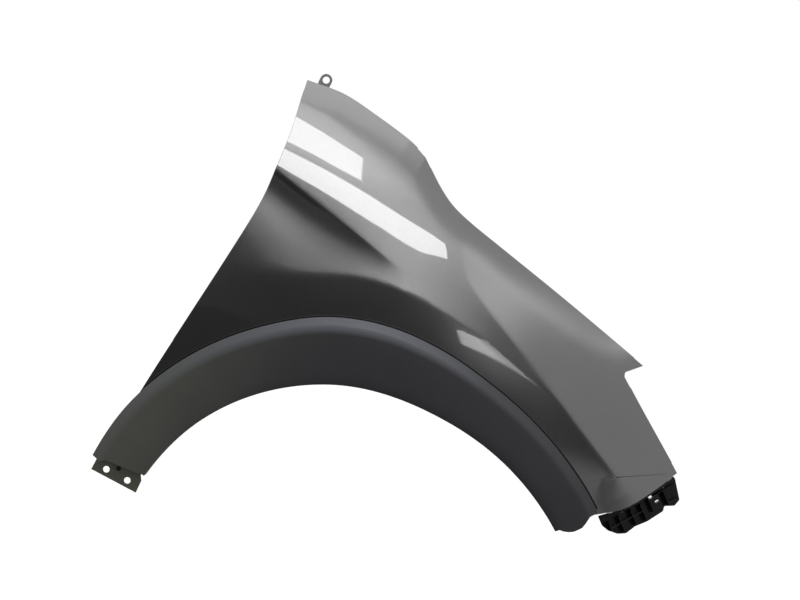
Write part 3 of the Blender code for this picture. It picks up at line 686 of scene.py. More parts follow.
colour = paint.mix(flake * 0.6 + cloud * 0.4, PAINT_DARK, PAINT_LIGHT)
# Painted reflection on the sill foot
painted_foot_reflection = paint.mix(mottled, FOOT_REFLECTION_DARK, FOOT_REFLECTION_LIGHT)
inner_primer = paint.mix(mottled * 0.3 + drift * 0.7, INNER_DARK, INNER_LIGHT)
inner_primer_and_foot_reflection = paint.mix(on_foot, inner_primer, painted_foot_reflection)
paint.feed("Base Color", paint.mix(primer_and_foot_share, colour, inner_primer_and_foot_reflection))
paint.feed("Roughness", 0.26 + flake * 0.06 + primer_and_foot_share * 0.20)
paint.feed("Metallic", 0.97 - primer_and_foot_share * 0.77)
paint.feed("Coat Weight", 1.0 - primer_and_foot_share * 0.8)
paint.bump(flake, 0.10)

sheet, exact = panel_sheet(PANEL_STEP)
panel_mesh = closed_sheet(sheet, SHEET, "painted_panel", exact)
mark_sides(panel_mesh)
panel = put(panel_mesh, "painted_panel")
panel.data.materials.append(paint.material)
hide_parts("fender_panel")


# Rear eye. A strip of 1.8 mm steel with one bolt hole, bent up from the shelf, spot-welded to it
# and zinc-plated. It ties the upper rear corner to the side of the cowl.
TAB_PLACE = -0.4405
TAB_RISE = 0.0650
TAB_WIDTH = 0.0215
TAB_FOOT = 0.0200
TAB_HOLE = 0.0125
TAB_STEEL = 0.0018
TAB_STAND = 0.0235
TAB_BEND = 0.0038
# The strip's sides as shares of its half width: at the tip, along the foot and at the neck, and
# then at some distances below the middle of the eye
TAB_TIP = 0.0016
TAB_TIP_SHARE = 0.68
TAB_FOOT_SHARE = 0.85
TAB_NECK_SHARE = 0.90
TAB_HEAD = ((0.90, 0.020), (0.93, 0.012), (1.0, 0.006), (1.0, 0.0))
TAB_STEP = 0.0011
EYE_SIDES = 40


def tab_sheet(step):
    """the strip cut flat and then bent up from the shelf"""
    stand = skin_point(TAB_PLACE, float(top_height(TAB_PLACE))).y + TAB_STAND
    ground = SHELF_HEIGHT + GAP + TAB_STEEL
    half = 0.5 * TAB_WIDTH
    flat = TAB_FOOT - TAB_BEND
    curve = 0.5 * math.pi * TAB_BEND
    eye = flat + curve + SHELF_HEIGHT + TAB_RISE - ground - TAB_BEND
    side = [(half * TAB_TIP_SHARE, 0.0), (half * TAB_FOOT_SHARE, TAB_TIP),
            (half * TAB_FOOT_SHARE, flat), (half * TAB_NECK_SHARE, flat + curve)]
    side += [(half * share, eye - below) for share, below in TAB_HEAD]
    turns = np.linspace(0, math.pi, EYE_SIDES + 1)[1:-1].tolist()
    head = [(half * math.cos(a), eye + half * math.sin(a)) for a in turns]
    outline = side + head + [(-u, v) for u, v in reversed(side)]
    hole = ring(0.0, eye, 0.5 * TAB_HOLE, EYE_SIDES)
    place, corner, _ = sheet_grid(outline, [], [hole], step)
    bm = bmesh.new()
    made = {}
    for k in np.unique(corner).tolist():
        u, v = place[k]
        turn = min(max((v - flat) / TAB_BEND, 0.0), 0.5 * math.pi)
        y = stand + TAB_FOOT - min(v, flat) - TAB_BEND * math.sin(turn)
        z = ground + TAB_BEND * (1.0 - math.cos(turn)) + max(v - flat - curve, 0.0)
        made[k] = bm.verts.new((TAB_PLACE + u, y, z))
    for a, b, c in corner.tolist():
        left = (place[b] - place[a])[0] * (place[c] - place[a])[1]
        right = (place[b] - place[a])[1] * (place[c] - place[a])[0]
        order = (a, c, b) if left > right else (a, b, c)
        bm.faces.new([made[k] for k in order])
    return bm


ZINC_DARK = (0.24, 0.24, 0.235, 1.0)
ZINC_LIGHT = (0.50, 0.50, 0.49, 1.0)
zinc = Finish("zinc_plated_steel", {"Metallic": 0.55})
spangle = zinc.cells(260.0)
stain = zinc.noise(70.0, 4.0, 0.6)
zinc.feed("Base Color", zinc.mix(stain * 0.7 + spangle * 0.3, ZINC_DARK, ZINC_LIGHT))
zinc.feed("Roughness", 0.28 + stain * 0.24)
zinc.bump(spangle + stain, 0.20, 0.0003)
tab = put(closed_sheet(tab_sheet(TAB_STEP), TAB_STEEL, "rear_eye"), "rear_eye")
tab.data.materials.append(zinc.material)
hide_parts("rear_tab")


# Push clips. Eight off-white nylon studs whose barbed stems snap into holes of the panel and
# whose heads carry the arch moulding.
CLIP_HEAD = 0.0065
CLIP_STEM = 0.0032
CLIP_SEAT = GAP + 0.0004
CLIP_PROFILE = ((-0.0115, 0.0009), (-0.0112, 0.0013), (-0.0096, 0.0025), (-0.0078, 0.0039),
                (-0.0072, 0.0042), (-0.0067, 0.0041), (-0.0063, 0.0035), (-0.0052, 0.0034),
                (-0.0048, 0.0037), (-0.0043, 0.0037), (-0.0039, 0.0032), (CLIP_SEAT, CLIP_STEM),
                (CLIP_SEAT, CLIP_HEAD - 0.0002), (CLIP_SEAT + 0.0002, CLIP_HEAD),
                (0.0036, CLIP_HEAD), (0.0042, CLIP_HEAD - 0.0003), (0.0055, CLIP_HEAD - 0.0020),
                (0.0055, 0.0024), (0.0049, 0.0020))
TURNED_SIDES = 32
TURNED_SHARP = 38
NYLON_DARK = (0.52, 0.52, 0.47, 1.0)
NYLON_LIGHT = (0.66, 0.66, 0.62, 1.0)


def solid_mesh(bm, name, sharp):
    """a mesh shaded smooth but for edges sharper than some degrees"""
    mesh = bpy.data.meshes.new(name)
    bm.to_mesh(mesh)
    bm.free()
    mesh.shade_smooth()
    mesh.set_sharp_from_angle(angle=math.radians(sharp))
    return mesh


def join_rings(bm, rings):
    """faces between rings of vertices, and an end on the first and the last"""
    made = []
    for lower, upper in zip(rings, rings[1:]):
        for k in range(len(lower)):
            j = (k + 1) % len(lower)
            made.append(bm.faces.new((lower[k], lower[j], upper[j], upper[k])))
    made.append(bm.faces.new(list(reversed(rings[0]))))
    made.append(bm.faces.new(rings[-1]))
    bmesh.ops.recalc_face_normals(bm, faces=made)


def turned(name, base, along, profile):
    """a lathe-turned piece: rings of (distance along, radius) closed by flat ends"""
    turn = along.to_track_quat("Z", "Y").to_matrix()
    bm = bmesh.new()
    join_rings(bm, [[bm.verts.new(base + turn @ Vector((x, y, distance)))
                     for x, y in ring(0.0, 0.0, radius, TURNED_SIDES)]
                    for distance, radius in profile])
    return put(solid_mesh(bm, name, TURNED_SHARP), name)


def speckled(finish, speck, dark, light, gloss, strength=0.20):
    """gives a plain finish one fine pattern in its colour, its shine and its surface"""
    finish.feed("Base Color", finish.mix(speck, dark, light))
    finish.feed("Roughness", gloss[0] + speck * (gloss[1] - gloss[0]))
    finish.bump(speck, strength)


nylon = Finish("off_white_nylon")
speckled(nylon, nylon.noise(240.0), NYLON_DARK, NYLON_LIGHT, (0.34, 0.50), 0.15)
for number, angle in enumerate(CLIP_ANGLES, start=1):
    x, z = clip_spot(angle)
    forward, upward = skin_slopes(x, z)
    way = Vector((float(forward), -1.0, float(upward))).normalized()
    clip = turned("push_clip_%02d" % number, skin_point(x, z), way, CLIP_PROFILE)
    clip.data.materials.append(nylon.material)
    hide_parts("moulding_clip_%02d" % number)


# Wheel arch moulding. Injection-moulded dark grey plastic with a fine grain, clipped over the
# lower panel. Its upper edge is bevelled and its inner edge turns into the wheel arch.
MOULDING_WALL = 0.0025
STANDOFF = 0.010
MOULDING_REAR = 168.9
MOULDING_FRONT = 49.2
MOULDING_SLANT = 3.2
MOULDING_COLUMNS = 420
# Lip at the front end: how many degrees it reaches, and over which shares of the width
MOULDING_LIP = 1.6
LIP_RISE = (0.0, 0.35)
LIP_FALL = (0.5, 0.85)
# Rows from the seam to the inner lip: share of the width, further out, and proud of the body side
BEVEL_WIDTH = 0.013
BEVEL_FOOT = (-0.0012, MOULDING_WALL + GAP + 0.0010)
BEVEL_TOP = (-BEVEL_WIDTH, STANDOFF)
BEVEL_CUTS = 7
BEVEL_ROWS = 10
FACE_SHARES = (0.75, 0.65, 0.55, 0.45, 0.35, 0.25, 0.15)
FACE_CROWN = 0.0006
MOULDING_LAST_ROWS = ((0.0, 0.0075, STANDOFF), (0.0, 0.0055, STANDOFF - 0.0006),
                      (0.0, 0.0035, STANDOFF - 0.0014), (0.0, 0.0018, STANDOFF - 0.0026),
                      (0.0, 0.0007, STANDOFF - 0.0044), (0.0, 0.0, STANDOFF - 0.0070),
                      (0.0, 0.0002, -0.006), (0.0, 0.0004, -0.020))


def moulding_rows():
    """the rows across the moulding, from the seam to the inner lip"""
    rows = [(1.0, 0.0, MOULDING_WALL + GAP)]
    for k in range(BEVEL_CUTS + 1):
        rows.append((1.0, *(a + (b - a) * k / BEVEL_CUTS for a, b in zip(BEVEL_FOOT, BEVEL_TOP))))
    rows += [(1.0, -BEVEL_WIDTH - 0.0012, STANDOFF + 0.5 * FACE_CROWN),
             (1.0, -BEVEL_WIDTH - 0.003, STANDOFF + FACE_CROWN)]
    rows += [(share, 0.0, STANDOFF + FACE_CROWN * (1.0 + math.sin(math.pi * (1.0 - share))))
             for share in FACE_SHARES]
    return rows + list(MOULDING_LAST_ROWS)


def swept_row(bm, angle, radius, proud):
    """vertices at some bearings and radii, proud of the body side"""
    x = radius * np.cos(np.radians(angle))
    z = radius * np.sin(np.radians(angle))
    y = body_side(x, z) - proud
    return [bm.verts.new(c) for c in zip(x.tolist(), y.tolist(), z.tolist())]


def moulding_sheet(columns):
    """the outer face of the moulding, swept round the arch"""
    bm = bmesh.new()
    rows = []
    for share, extra, proud in moulding_rows():
        lip = MOULDING_LIP * float(blend(*LIP_RISE, share) * (1.0 - blend(*LIP_FALL, share)))
        rear = MOULDING_REAR + MOULDING_SLANT * share
        angle = rear + (MOULDING_FRONT - lip - rear) * np.linspace(0.0, 1.0, columns + 1)
        inner = arch_radius(angle)
        rows.append(swept_row(bm, angle, inner + (seam_radius(angle) - inner) * share + extra,
                              proud))
    for upper, lower in zip(rows, rows[1:]):
        for k in range(columns):
            bm.faces.new((upper[k], upper[k + 1], lower[k + 1], lower[k]))
    bm.normal_update()
    if sum(f.normal.y for f in bm.faces) > 0:
        bmesh.ops.reverse_faces(bm, faces=bm.faces)
    return bm


def mark_bevel(mesh, columns):
    """a map on the mesh: how far along the moulding, and 1 on the bevel but 0 elsewhere"""
    spot = loop_corners(mesh) % (len(mesh.vertices) // 2)
    shares = np.stack(((spot % (columns + 1)) / columns,
                       (spot // (columns + 1) <= BEVEL_ROWS).astype(float)), axis=1)
    mesh.uv_layers.new(name="bevel").uv.foreach_set("vector", shares.astype(np.float32).ravel())


PLASTIC_DARK = (0.022, 0.022, 0.026, 1.0)
PLASTIC_LIGHT = (0.034, 0.034, 0.039, 1.0)
# Lighter olive-grey over the rear end of the moulding, fading out towards the front: painted sheen.
REAR_SHEEN_DARK = (0.056, 0.059, 0.046, 1.0)
REAR_SHEEN_LIGHT = (0.082, 0.086, 0.068, 1.0)
REAR_SHEEN_FROM = 0.130
REAR_SHEEN_FULL = -0.150
# The bevel band is lighter over the top of the arch, where it faces up into the light: painted
# sheen. The same share makes the bevel a little smoother.
BEVEL_SHEEN = (0.125, 0.130, 0.152, 1.0)
SHEEN = ((0.0, 0.15), (0.20, 0.40), (0.36, 0.80), (0.50, 1.0), (0.62, 0.65), (0.72, 0.25),
         (1.0, 0.05))
grain = Finish("grained_dark_plastic")
fine = grain.noise(900.0, 3.0, 0.6)
broad = grain.noise(14.0, 2.0)
forward_on_part = grain.node("ShaderNodeSeparateXYZ", {}, {0: grain.place()}, out="X")
# Painted sheen over the rear end of the moulding
rear_sheen_share = grain.fade(forward_on_part, REAR_SHEEN_FROM, REAR_SHEEN_FULL)
clean = grain.mix(fine * 0.5 + broad * 0.5, PLASTIC_DARK, PLASTIC_LIGHT)
painted_rear_sheen = grain.mix(fine * 0.5 + broad * 0.5, REAR_SHEEN_DARK, REAR_SHEEN_LIGHT)
# Painted sheen along the bevel, strongest over the top of the arch; the same share also lowers the
# bevel's roughness
sheen = grain.node("ShaderNodeValToRGB", {"stops": SHEEN}, {"Fac": grain.on_map("X")})
smooth = grain.on_map("Y") * sheen
grain.feed("Base Color", grain.mix(smooth, grain.mix(rear_sheen_share, clean, painted_rear_sheen), BEVEL_SHEEN))
grain.feed("Roughness", 0.50 + fine * 0.14 - smooth * 0.16)
grain.bump(fine, 0.35, 0.0004)
moulding_mesh = closed_sheet(moulding_sheet(MOULDING_COLUMNS), MOULDING_WALL,
                             "wheel_arch_moulding")
mark_bevel(moulding_mesh, MOULDING_COLUMNS)
moulding = put(moulding_mesh, "wheel_arch_moulding")
moulding.data.materials.append(grain.material)
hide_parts("arch_moulding")


# Seam seal. A thin extruded rubber bead with a raised lip, laid in the joint between the panel
# and the moulding so that no water gets behind.
SEAL_WIDTH = 0.0026
SEAL_HEIGHT = 0.0022
SEAL_REAR = 155.5
SEAL_FRONT = 49.9
SEAL_COLUMNS = 420
SEAL_SHARP = 50
# Section of the bead: share of its width from the moulding outwards, and height
SEAL_SECTION = ((0.0, 0.0), (0.0, 0.0010), (0.30, 0.0012), (0.50, 0.0012), (0.58, 0.0019),
                (0.68, SEAL_HEIGHT), (0.80, SEAL_HEIGHT), (0.92, 0.0018), (1.0, 0.0010),
                (1.0, 0.0))


def seal_bead(columns):
    """the bead, swept along the seam and closed at both ends"""
    bm = bmesh.new()
    across = bm.loops.layers.uv.new("across")
    angle = np.linspace(SEAL_REAR, SEAL_FRONT, columns + 1)
    rows = [swept_row(bm, angle, seam_radius(angle) + GAP + SEAL_WIDTH * share,
                      GAP + height * (1.0 - GAP / SEAL_HEIGHT))
            for share, height in SEAL_SECTION]
    count = len(rows)
    for i in range(count):
        upper, lower = rows[i], rows[(i + 1) % count]
        for k in range(columns):
            face = bm.faces.new((upper[k], upper[k + 1], lower[k + 1], lower[k]))
            for loop, row in zip(face.loops, (i, i, i + 1, i + 1)):
                loop[across].uv = (0.5, SEAL_SECTION[row % count][0])
    bm.faces.new([row[0] for row in rows])
    bm.faces.new([row[-1] for row in reversed(rows)])
    bmesh.ops.recalc_face_normals(bm, faces=bm.faces)
    return solid_mesh(bm, "seam_bead", SEAL_SHARP)


RUBBER_DARK = (0.004, 0.004, 0.004, 1.0)
RUBBER_LIGHT = (0.009, 0.009, 0.009, 1.0)
# The outer edge of the bead's lip is lighter grey: painted highlight, where the lip catches the
# light.
LIP_HIGHLIGHT_DARK = (0.09, 0.09, 0.092, 1.0)
LIP_HIGHLIGHT_LIGHT = (0.16, 0.16, 0.163, 1.0)
LIP_HIGHLIGHT_SPAN = (0.84, 0.96)
rubber = Finish("black_rubber")
speck = rubber.noise(420.0)
# Painted highlight along the lip's outer edge
painted_lip_highlight = rubber.fade(rubber.on_map("Y"), *LIP_HIGHLIGHT_SPAN)
rubber.feed("Base Color", rubber.mix(painted_lip_highlight, rubber.mix(speck, RUBBER_DARK, RUBBER_LIGHT),
                                     rubber.mix(speck, LIP_HIGHLIGHT_DARK, LIP_HIGHLIGHT_LIGHT)))
rubber.feed("Roughness", 0.42 + speck * 0.20)
rubber.bump(speck, 0.20)
seal = put(seal_bead(SEAL_COLUMNS), "seam_bead")
seal.data.materials.append(rubber.material)
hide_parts("moulding_seal")


# Foot clip. A small black plastic rivet with a spread shank, pressed through the sill foot from
# outside to close the hole between its two bolts.
FOOT_CLIP_PROFILE = ((-0.0090, 0.0007), (-0.0086, 0.0012), (-0.0052, 0.0024), (-0.0046, 0.0024),
                     (-0.0040, 0.0020), (GAP, 0.0020), (GAP, 0.0039), (GAP + 0.0002, 0.0040),
                     (0.0012, 0.0038), (0.0018, 0.0030), (0.0020, 0.0018), (0.0020, 0.0012),
                     (0.0015, 0.0009))
RIVET_DARK = (0.006, 0.006, 0.006, 1.0)
RIVET_LIGHT = (0.014, 0.014, 0.015, 1.0)
dark_plastic = Finish("black_plastic")
speckled(dark_plastic, dark_plastic.noise(300.0), RIVET_DARK, RIVET_LIGHT, (0.30, 0.50))
rivet = turned("foot_rivet", skin_point(*FOOT_CLIP), Vector((0, -1, 0)), FOOT_CLIP_PROFILE)
rivet.data.materials.append(dark_plastic.material)
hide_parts("foot_clip")


# Bumper side bracket. One moulding of black plastic: a wall that screws to the panel's flange and
# a ribbed plate with two slots, into which the bumper cover hooks.
BRACKET_WALL = 0.0025
BRACKET_SET = 0.0145
# Outline of the plate: along the panel's bumper edge, and outwards from it
BRACKET_OUTLINE = ((-0.0058, 0.0035), (-0.0058, 0.0212), (0.0007, 0.0339), (0.0139, 0.0466),
                   (0.0285, 0.0529), (0.0479, 0.0498), (0.0716, 0.0524), (0.1059, 0.0501),
                   (0.1116, 0.0433), (0.1289, 0.0514), (0.1420, 0.0466), (0.1500, 0.0090),
                   (0.1480, 0.0045), (0.1073, 0.0101), (0.0750, 0.0120), (0.0426, 0.0134))
BRACKET_CORNER = 0.0022
BRACKET_SLOTS = ((0.0905, 0.0968, 0.0150, 0.0188), (0.0978, 0.1052, 0.0262, 0.0297))
SLOT_CORNER = 0.0012
# Ribs: from and to along the edge, from and to outwards, and how deep they start
BRACKET_RIBS = ((0.1070, 0.1430, 0.0145, 0.0165, 0.0025), (0.0875, 0.1085, 0.0165, 0.0415, 0.0065),
                (0.0060, 0.0085, 0.0190, 0.0380, 0.0050), (0.0260, 0.0285, 0.0190, 0.0480, 0.0050),
                (0.0500, 0.0525, 0.0190, 0.0470, 0.0050), (0.0700, 0.0725, 0.0190, 0.0490, 0.0050),
                (0.0040, 0.0745, 0.0300, 0.0325, 0.0060), (0.1180, 0.1205, 0.0160, 0.0440, 0.0050),
                (0.1190, 0.1400, 0.0390, 0.0415, 0.0060))
RIB_FOOT = 0.0005
RIB_TOP = 0.0003
RIB_CROWN = 0.05
EDGE_BEND = 0.0006
BRACKET_STEP = 0.0013
BRACKET_SHARP = 40
# Section of the wall: outwards from the panel's edge, and inboard
WALL_SECTION = ((0.0021, 0.0037), (0.0023, 0.0032), (0.0028, 0.0030), (0.0039, 0.0030),
                (0.0044, 0.0032), (0.0046, 0.0037), (0.0046, 0.0178), (0.0044, 0.0183),
                (0.0039, 0.0185), (0.0028, 0.0185), (0.0023, 0.0183), (0.0021, 0.0178))
WALL_STEP = 0.004
EDGE_START = skin_point(*BUMPER_EDGE[0])
EDGE_END = skin_point(*BUMPER_EDGE[-1])
ALONG = (EDGE_END - EDGE_START) / math.hypot(EDGE_END.x - EDGE_START.x, EDGE_END.z - EDGE_START.z)
OUT = Vector((ALONG.z, 0, -ALONG.x))
INBOARD = Vector((0, 1, 0))


def rounded(corners, cut, steps=6):
    """a closed outline whose corners are turned in short curves"""
    out = []
    count = len(corners)
    for k in range(count):
        before, here, after = (Vector(corners[(k + j) % count]) for j in (-1, 0, 1))
        reach_in = min(cut, 0.4 * (here - before).length)
        reach_out = min(cut, 0.4 * (after - here).length)
        first = here + (before - here).normalized() * reach_in
        last = here + (after - here).normalized() * reach_out
        for t in np.linspace(0.0, 1.0, steps).tolist():
            c = first * (1 - t) ** 2 + here * 2 * t * (1 - t) + last * t * t
            out.append((c.x, c.y))
    return out


def box_run(s0, s1, o0, o1, wider=0.0):
    """the outline of a rib or a slot"""
    return [(s0 - wider, o0 - wider), (s1 + wider, o0 - wider),
            (s1 + wider, o1 + wider), (s0 - wider, o1 + wider)]


def bracket_plate(step):
    """the plate, with ribs that stand out towards the bumper cover and a flat back"""
    corners = rounded(BRACKET_OUTLINE, BRACKET_CORNER)
    outline = []
    for a, b in zip(corners, corners[1:] + corners[:1]):
        count = max(1, round((Vector(b) - Vector(a)).length / step))
        outline.extend(tuple(Vector(a).lerp(Vector(b), k / count)) for k in range(count))
    lines = []
    for *box, _ in BRACKET_RIBS:
        for wider in (RIB_FOOT, -RIB_TOP):
            loop = box_run(*box, wider)
            lines.append(loop + loop[:1])
    slots = [rounded(box_run(*slot), SLOT_CORNER, 4) for slot in BRACKET_SLOTS]
    place, corner, _ = sheet_grid(outline, lines, slots, step)
    used = np.unique(corner).tolist()
    number = {k: i for i, k in enumerate(used)}
    along, out = place[used, 0], place[used, 1]
    rise = np.zeros(len(used))
    for s0, s1, o0, o1, low in BRACKET_RIBS:
        inward = np.minimum(np.minimum(along - s0, s1 - along), np.minimum(out - o0, o1 - out))
        crown = 1.0 - RIB_CROWN * np.exp(-np.maximum(inward, 0.0) / (2 * RIB_TOP))
        rise = np.maximum(rise, (BRACKET_SET - low) * crown * blend(-RIB_FOOT, RIB_TOP, inward))
    rim = reach([loop + loop[:1] for loop in [outline] + slots], along, out)
    fall = EDGE_BEND * (1.0 - blend(0.0, 1.0, rim / (2 * EDGE_BEND)))
    bm = bmesh.new()
    front, back = ([bm.verts.new(EDGE_START + ALONG * s + OUT * o + INBOARD * d)
                    for s, o, d in zip(along.tolist(), out.tolist(), depth.tolist())]
                   for depth in (BRACKET_SET - rise + fall,
                                 np.full(len(used), BRACKET_SET + BRACKET_WALL)))
    for tri in corner.tolist():
        a, b, c = (number[k] for k in tri)
        turned_up = (front[b].co - front[a].co).cross(front[c].co - front[a].co).y
        if turned_up > 0:
            b, c = c, b
        bm.faces.new((front[a], front[b], front[c]))
        bm.faces.new((back[a], back[c], back[b]))
    partner = dict(zip(front, back))
    for edge in [e for e in bm.edges if len(e.link_faces) == 1 and e.verts[0] in partner]:
        loop = edge.link_loops[0]
        a, b = loop.vert, loop.link_loop_next.vert
        bm.faces.new((b, a, partner[a], partner[b]))
    return bm


def bracket_bar(bm):
    """the wall along the flange, swept with rounded edges"""
    line = smooth_line(BUMPER_EDGE, WALL_STEP)[2:-2]
    rings = []
    for (x, z), (xa, za), (xb, zb) in zip(line[1:-1], line[:-2], line[2:]):
        way = Vector((xb - xa, 0, zb - za)).normalized()
        out = Vector((way.z, 0, -way.x))
        rings.append([bm.verts.new(skin_point(x, z) + out * o + INBOARD * d)
                      for o, d in WALL_SECTION])
    join_rings(bm, rings)


SHINY_DARK = (0.0030, 0.0030, 0.0032, 1.0)
SHINY_LIGHT = (0.0065, 0.0065, 0.0070, 1.0)
shiny = Finish("moulded_black_plastic", {"Specular IOR Level": 0.30})
flow = shiny.noise(60.0)
pitted = shiny.noise(700.0, 2.0)
shiny.feed("Base Color", shiny.mix(flow, SHINY_DARK, SHINY_LIGHT))
shiny.feed("Roughness", 0.16 + flow * 0.22)
shiny.bump(pitted * 0.4 + flow, 0.25, 0.0004)
plate = bracket_plate(BRACKET_STEP)
bracket_bar(plate)
bracket = put(solid_mesh(plate, "bumper_side_bracket", BRACKET_SHARP), "bumper_side_bracket")
bracket.data.materials.append(shiny.material)
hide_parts("bumper_bracket")


# Bracket screws. Two black-coated steel screws with button heads and turned washers, which hold
# the bracket's wall to the panel's flange near either end of it.
SCREW_SHANK = 0.0019
SCREW_HEAD = 0.0032
SCREW_PROFILE = ((-0.0080, 0.0008), (-0.0074, 0.0012), (-0.0062, SCREW_SHANK),
                 (0.0046 + GAP, SCREW_SHANK), (0.0046 + GAP, SCREW_HEAD - 0.0001),
                 (0.0048 + GAP, SCREW_HEAD), (0.0060, SCREW_HEAD), (0.0065, SCREW_HEAD - 0.0004),
                 (0.0069, SCREW_HEAD - 0.0011), (0.0070, SCREW_HEAD - 0.0017),
                 (0.0069, SCREW_HEAD - 0.0019), (0.0056, SCREW_HEAD - 0.0020))
SCREW_STEP = 0.012
SCREW_FROM_END = 3
SCREW_INBOARD = 0.0065
COATED_DARK = (0.055, 0.055, 0.056, 1.0)
COATED_LIGHT = (0.19, 0.19, 0.19, 1.0)
coated = Finish("black_coated_steel", {"Metallic": 0.85})
speckled(coated, coated.noise(500.0, 4.0, 0.6), COATED_DARK, COATED_LIGHT, (0.30, 0.50))
flange_line = smooth_line(BUMPER_EDGE, SCREW_STEP)
for number, k in enumerate((SCREW_FROM_END, len(flange_line) - 1 - SCREW_FROM_END), start=1):
    (xa, za), (xb, zb) = flange_line[k - 1], flange_line[k + 1]
    way = Vector((xb - xa, 0, zb - za)).normalized()
    base = skin_point(*flange_line[k]) + INBOARD * SCREW_INBOARD
    screw = turned("flange_screw_%d" % number, base, Vector((way.z, 0, -way.x)), SCREW_PROFILE)
    screw.data.materials.append(coated.material)
    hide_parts("bracket_screw_%d" % number)


# Camera. It looks level along +Y from 2.4 m in front of the part and is rolled, because the
# photographed part lay turned.
VIEW_ROLL = math.radians(28.0)
VIEW_DISTANCE = 2.400
VIEW_POINT = (-0.146, 0.532)
VIEW_LENS = 65.66
VIEW_SENSOR = 36.0
camera_data = bpy.data.cameras.new("camera")
camera_data.lens = VIEW_LENS
camera_data.sensor_width = VIEW_SENSOR
camera = bpy.data.objects.new("camera", camera_data)
bpy.context.scene.collection.objects.link(camera)
picture_right = Vector((math.cos(VIEW_ROLL), 0.0, math.sin(VIEW_ROLL)))
picture_up = Vector((-math.sin(VIEW_ROLL), 0.0, math.cos(VIEW_ROLL)))
stand = Vector((VIEW_POINT[0], -VIEW_DISTANCE, VIEW_POINT[1])) - ORIGIN
facing = Matrix((picture_right, picture_up, Vector((0, -1, 0)))).transposed()
camera.matrix_world = Matrix.Translation(stand) @ facing.to_4x4()
bpy.context.scene.camera = camera


# Floor and white surroundings. The floor is pale and keeps the part's shadow, and camera, glossy
# and transmitted rays see the same white all round.
FLOOR_HEIGHT = -0.345 - ORIGIN.z
FLOOR_HALF = 40
FLOOR_PALE = (0.86, 0.86, 0.86, 1.0)
FLOOR_GLOW = (0.42, 0.42, 0.42, 1.0)
BLACK = (0.0, 0.0, 0.0, 1.0)
WHITE = (1.0, 1.0, 1.0, 1.0)
WORLD_LEVEL = 0.75


def seen(nodes):
    """1 for rays of the camera, of reflections and through glass, and 0 for the others"""
    kinds = [nodes.node("ShaderNodeLightPath", out="Is %s Ray" % kind)
             for kind in ("Camera", "Glossy", "Transmission")]
    return kinds[0].most(kinds[1]).most(kinds[2])


def level_sheet(name, left, right, near, far, height):
    """a flat rectangle at some height"""
    mesh = bpy.data.meshes.new(name)
    mesh.from_pydata([(left, near, height), (right, near, height), (right, far, height),
                      (left, far, height)], [], [(0, 1, 2, 3)])
    return mesh


scene = bpy.context.scene
scene.view_settings.view_transform = "Standard"
scene.world = bpy.data.worlds.new("studio")
sky = Nodes(scene.world)
background = sky.tree.nodes["Background"]
background.inputs["Color"].default_value = WHITE
sky.give(background.inputs["Strength"], seen(sky) * (1.0 - WORLD_LEVEL) + WORLD_LEVEL)
floor_mesh = level_sheet("floor", -FLOOR_HALF, FLOOR_HALF, -FLOOR_HALF, FLOOR_HALF, FLOOR_HEIGHT)
floor = bpy.data.objects.new("floor", floor_mesh)
scene.collection.objects.link(floor)
pale = Finish("pale_floor", {"Base Color": FLOOR_PALE, "Roughness": 0.95,
                             "Specular IOR Level": 0.0, "Emission Strength": 1.0})
pale.feed("Emission Color", pale.mix(seen(pale), BLACK, FLOOR_GLOW))
floor.data.materials.append(pale.material)


# Studio round the part: a dark curved screen in front, softboxes over it and a dark cloth on the
# floor, turned with the camera. Only reflections see them.
STUDIO_CENTRE = Vector((-0.05, 0.05, 0.55)) - ORIGIN
STUDIO_PLACE = Matrix.Translation(STUDIO_CENTRE) @ Matrix.Rotation(-VIEW_ROLL, 4, "Y")
# Screens and softboxes: bearings of the left and right end, elevations (bottom, top) of the left
# end and of the right end, radius, strength, and the shares of (left, right, bottom, top) that fade
SCREENS = {
    "dark_screen": ((-80.0, 140.0), (-50.0, 44.0), (-50.0, 44.0), 6.0, 1.0, (0, 0, 0, 0.13)),
    "dark_flag": ((-14.0, 9.0), (30.0, 43.0), (30.0, 43.0), 5.95, 0.22, (0.20, 0.20, 0.25, 0.25)),
    "grey_screen": ((30.0, 108.0), (32.0, 57.0), (32.0, 57.0), 5.9, 0.72,
                    (0.10, 0.10, 0.22, 0.22)),
    "softbox_middle": ((5.0, 27.0), (40.0, 66.0), (40.0, 66.0), 5.6, 2.1,
                       (0.25, 0.25, 0.20, 0.20)),
    "softbox_top": ((0.0, 128.0), (56.0, 86.0), (56.0, 86.0), 5.6, 1.6, (0.10, 0.10, 0.25, 0.25)),
    "softbox_long": ((8.0, 108.0), (24.5, 46.0), (16.5, 38.5), 5.55, 2.05,
                     (0.12, 0.12, 0.45, 0.45)),
    "softbox_low": ((15.8, 38.5), (5.7, 8.8), (1.6, 23.5), 5.5, 2.9, (0.07, 0.07, 0.12, 0.12)),
    "softbox_floor": ((24.0, 52.0), (-30.0, -8.0), (-30.0, -8.0), 5.5, 0.45,
                      (0.25, 0.25, 0.30, 0.30)),
}
# How bright some of them are from left to right
GRADES = {
    "dark_screen": ((0.0, 0.35), (0.22, 0.25), (0.29, 0.12), (0.345, 0.05), (0.40, 0.045),
                    (0.45, 0.012), (0.57, 0.012), (0.62, 0.21), (0.66, 0.62), (0.70, 0.64),
                    (0.76, 0.42), (1.0, 0.40)),
    "softbox_long": ((0.0, 0.62), (0.20, 0.62), (0.34, 0.85), (0.48, 0.95), (0.62, 0.72),
                     (0.80, 0.50), (1.0, 0.45)),
    "softbox_low": ((0.0, 1.0), (0.40, 1.0), (0.70, 0.60), (1.0, 0.50)),
}
DARK_SCREEN_FACETS = (48, 24)
SOFTBOX_FACETS = (24, 12)


